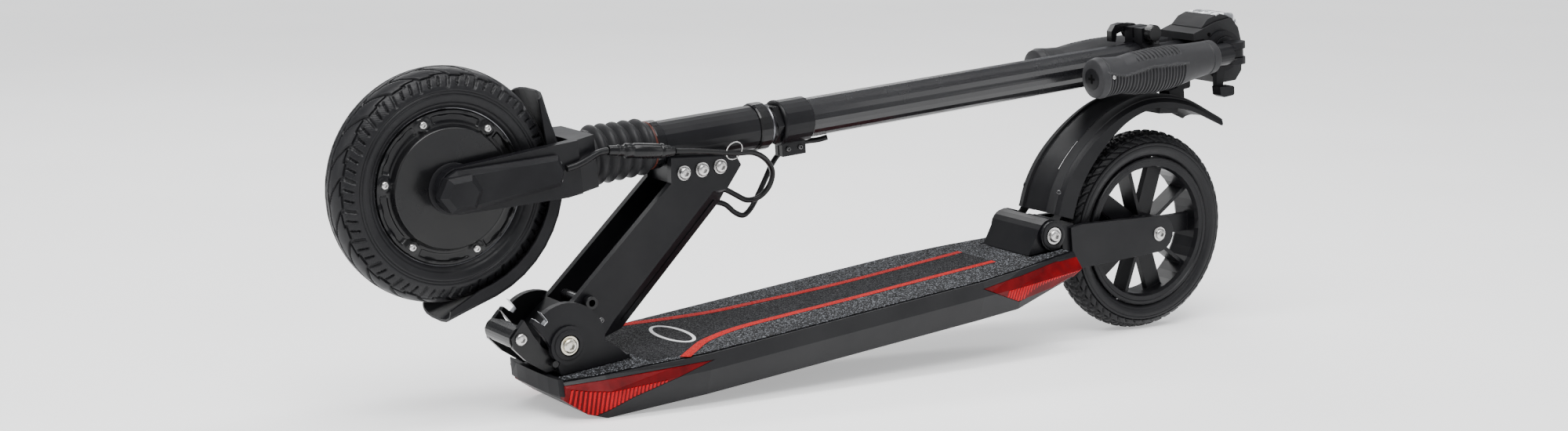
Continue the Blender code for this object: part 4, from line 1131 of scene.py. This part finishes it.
def deck_prints():
    far = [(186, 69), (206, 60), (232, 50), (267, 39), (309, 34), (393, 27), (470, 27.5), (546, 29.5)]
    near = [(179, -68), (196, -54), (218, -38), (255, -27)]
    near += [(305, -25.5), (385, -26), (470, -25), (546, -24.5)]
    for name, line in (("far_red_stripe", far), ("near_red_stripe", near)):
        piece(name, *ribbon(line, 10.0, 7.0, TAPE_TOP + 0.05), "red_tape", "grip_tape", "frame")
    band = [(x, 25.5 if x > 300 else y - 3) for x, y in far] + [(x, y + 3) for x, y in reversed(near)]
    band = [(x, y * 0.94) for x, y in [(150, 58), *band, (150, -58)]]
    sheet = skin([[(x, y, TAPE_TOP + height) for x, y in band] for height in (0.02, 0.14)])
    piece("centre_band", *sheet, "centre_tape", "grip_tape", "frame")
    outer, inner = (13.4, 35.5), (10.2, 31.6)
    section = ((outer, 0.15), (outer, 0.35), (inner, 0.35), (inner, 0.15))
    ring = []
    for t in angles(72):
        across, along = math.cos(t), math.sin(t)
        ring.append([(206.7 + a * across, 3 + b * along, TAPE_TOP + height) for (a, b), height in section])
    piece("oval_ring_print", *skin(ring, closed=True), "white_print", "grip_tape", "frame")


deck_prints()


# ---- lamps ---------------------------------------------------------------------------------------


# The deck's side along X: where it is widest, and where its lower bevel ends
WIDE_Y = ([69, 88, 105, 200, 497, 545, 620], [54, 61, 67, 74, 74, 72, 66])
WIDE_Z = ([69, 88, 105, 200, 620], [-185, -190, -193, -195, -195])
FOOT_Y = ([69, 88, 105, 200, 497, 545, 620], [47, 52, 55, 62, 62, 60, 52])
FOOT_Z = ([69, 88, 105, 545, 620], [-197, -213, -219.7, -219.7, -205])
FRONT_LAMP_LOW = ([62, 92, 128, 203], [-216.5, -216.5, -204, -186.5])
REAR_LAMP_LOW = ([497, 543, 603, 640], [-187, -211, -205, -206])


def lamp_ribs(name, start, end, count, lamp_low, side):
    """Upright ribs in the lower facet of a corner lamp."""
    shapes = []
    out = Vector((0, side, -0.45)).normalized() * 0.55
    wide = Vector((1.3, 0, 0))
    tables = (WIDE_Y, WIDE_Z, FOOT_Y, FOOT_Z, lamp_low)
    for x in np.linspace(start, end, count):
        wide_y, wide_z, foot_y, foot_z, low = (np.interp(x, *table) for table in tables)
        share = min(1.0, (wide_z - low) / max(wide_z - foot_z, 1.0))
        if share < 0.12:
            continue
        upper = Vector((x, side * wide_y, wide_z - 0.6))
        low_y = wide_y + (foot_y - wide_y) * share
        low_z = wide_z + (foot_z - wide_z) * share
        lower = Vector((x, side * low_y, low_z + 0.6))
        rings = [[p - wide, p - wide * 0.5 + out, p + wide * 0.5 + out, p + wide] for p in (upper, lower)]
        shapes.append(skin([[tuple(q) for q in ring] for ring in rings]))
    piece(name, *merged(*shapes), "red_ribs", "red_lens", "frame", sharp=25)


for hand, side in HANDS:
    lamp_ribs(f"front_{hand}_lamp_ribs", 74, 186, 32, FRONT_LAMP_LOW, side)
    lamp_ribs(f"rear_{hand}_lamp_ribs", 528, 616, 26, REAR_LAMP_LOW, side)


# ---- cables --------------------------------------------------------------------------------------

LOOP_PORT_Z = -57.5
HARNESS_PORT_Z = -69.0
MOTOR_CABLE = [
    (97, -44.6, 1), (106, -44.8, 2), (117, -43.5, 4.5), (127, -40, 6.8), (134, -37, 7.2), (141.5, -36, 7),
]
LOOP_CABLE = [
    (207, -36, -5.6), (216, -35.5, -7.5), (231, -34, -10.5), (250, -33, -15), (270, -32, -20),
    (290, -27, -24), (306, -21, -34), (316, -14, -48), (315, -8, -62), (306, -4, -71), (294, -2, -72),
    (283, -1, -65), (274, -1, -59), (266, -1, LOOP_PORT_Z), (252, -1, LOOP_PORT_Z),
]
HARNESS_CABLE = [
    (242, 7, HARNESS_PORT_Z), (258, 7, HARNESS_PORT_Z), (266, 7, -69.6), (276, 6.5, -74),
    (285, 6.5, -83), (294, 7, -87.5), (303, 8, -83), (312, 9, -73), (322, 10, -60), (331, 11, -48),
    (340, 11.5, -40), (352, 11, -35.5), (366, 8, -32.8), (378, 3, -32.5), (386, 0, -31.2),
]


def sweep(route, diameter, steps=16):
    """A round tube along a route, as a mesh, and the route in the world."""
    line = smooth_curve(route, 6)
    across = Vector((0, 1, 0))
    rings = []
    for k, here in enumerate(line):
        ahead = (line[min(k + 1, len(line) - 1)] - line[max(k - 1, 0)]).normalized()
        across = (across - ahead * across.dot(ahead)).normalized()
        up = ahead.cross(across)
        spokes = [across * math.cos(t) + up * math.sin(t) for t in angles(steps)]
        rings.append([tuple(here + spoke * diameter / 2) for spoke in spokes])
    return skin(rings), [tuple(DECK @ here) for here in line]


def loose_cable(name, node, route, diameter, first_body, second_body=None):
    """A cable from one point of the deck's frame to another, riding one body, or, when a second body is
    named, taken off the bodies and left fixed in the world.
    """
    shape, path = sweep(route, diameter)
    made = piece(name, *shape, "cable", "rubber", first_body, sharp=60)
    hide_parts(node)
    if second_body:
        made.parent = None
        del made["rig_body"]
        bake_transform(made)


loose_cable("motor_lead", "motor_cable", MOTOR_CABLE, 6.0, "front_fork")
loose_cable("loop_lead", "loop_cable", LOOP_CABLE, 5.0, "steering", "neck")
loose_cable("harness_lead", "harness_cable", HARNESS_CABLE, 5.0, "neck", "steering")
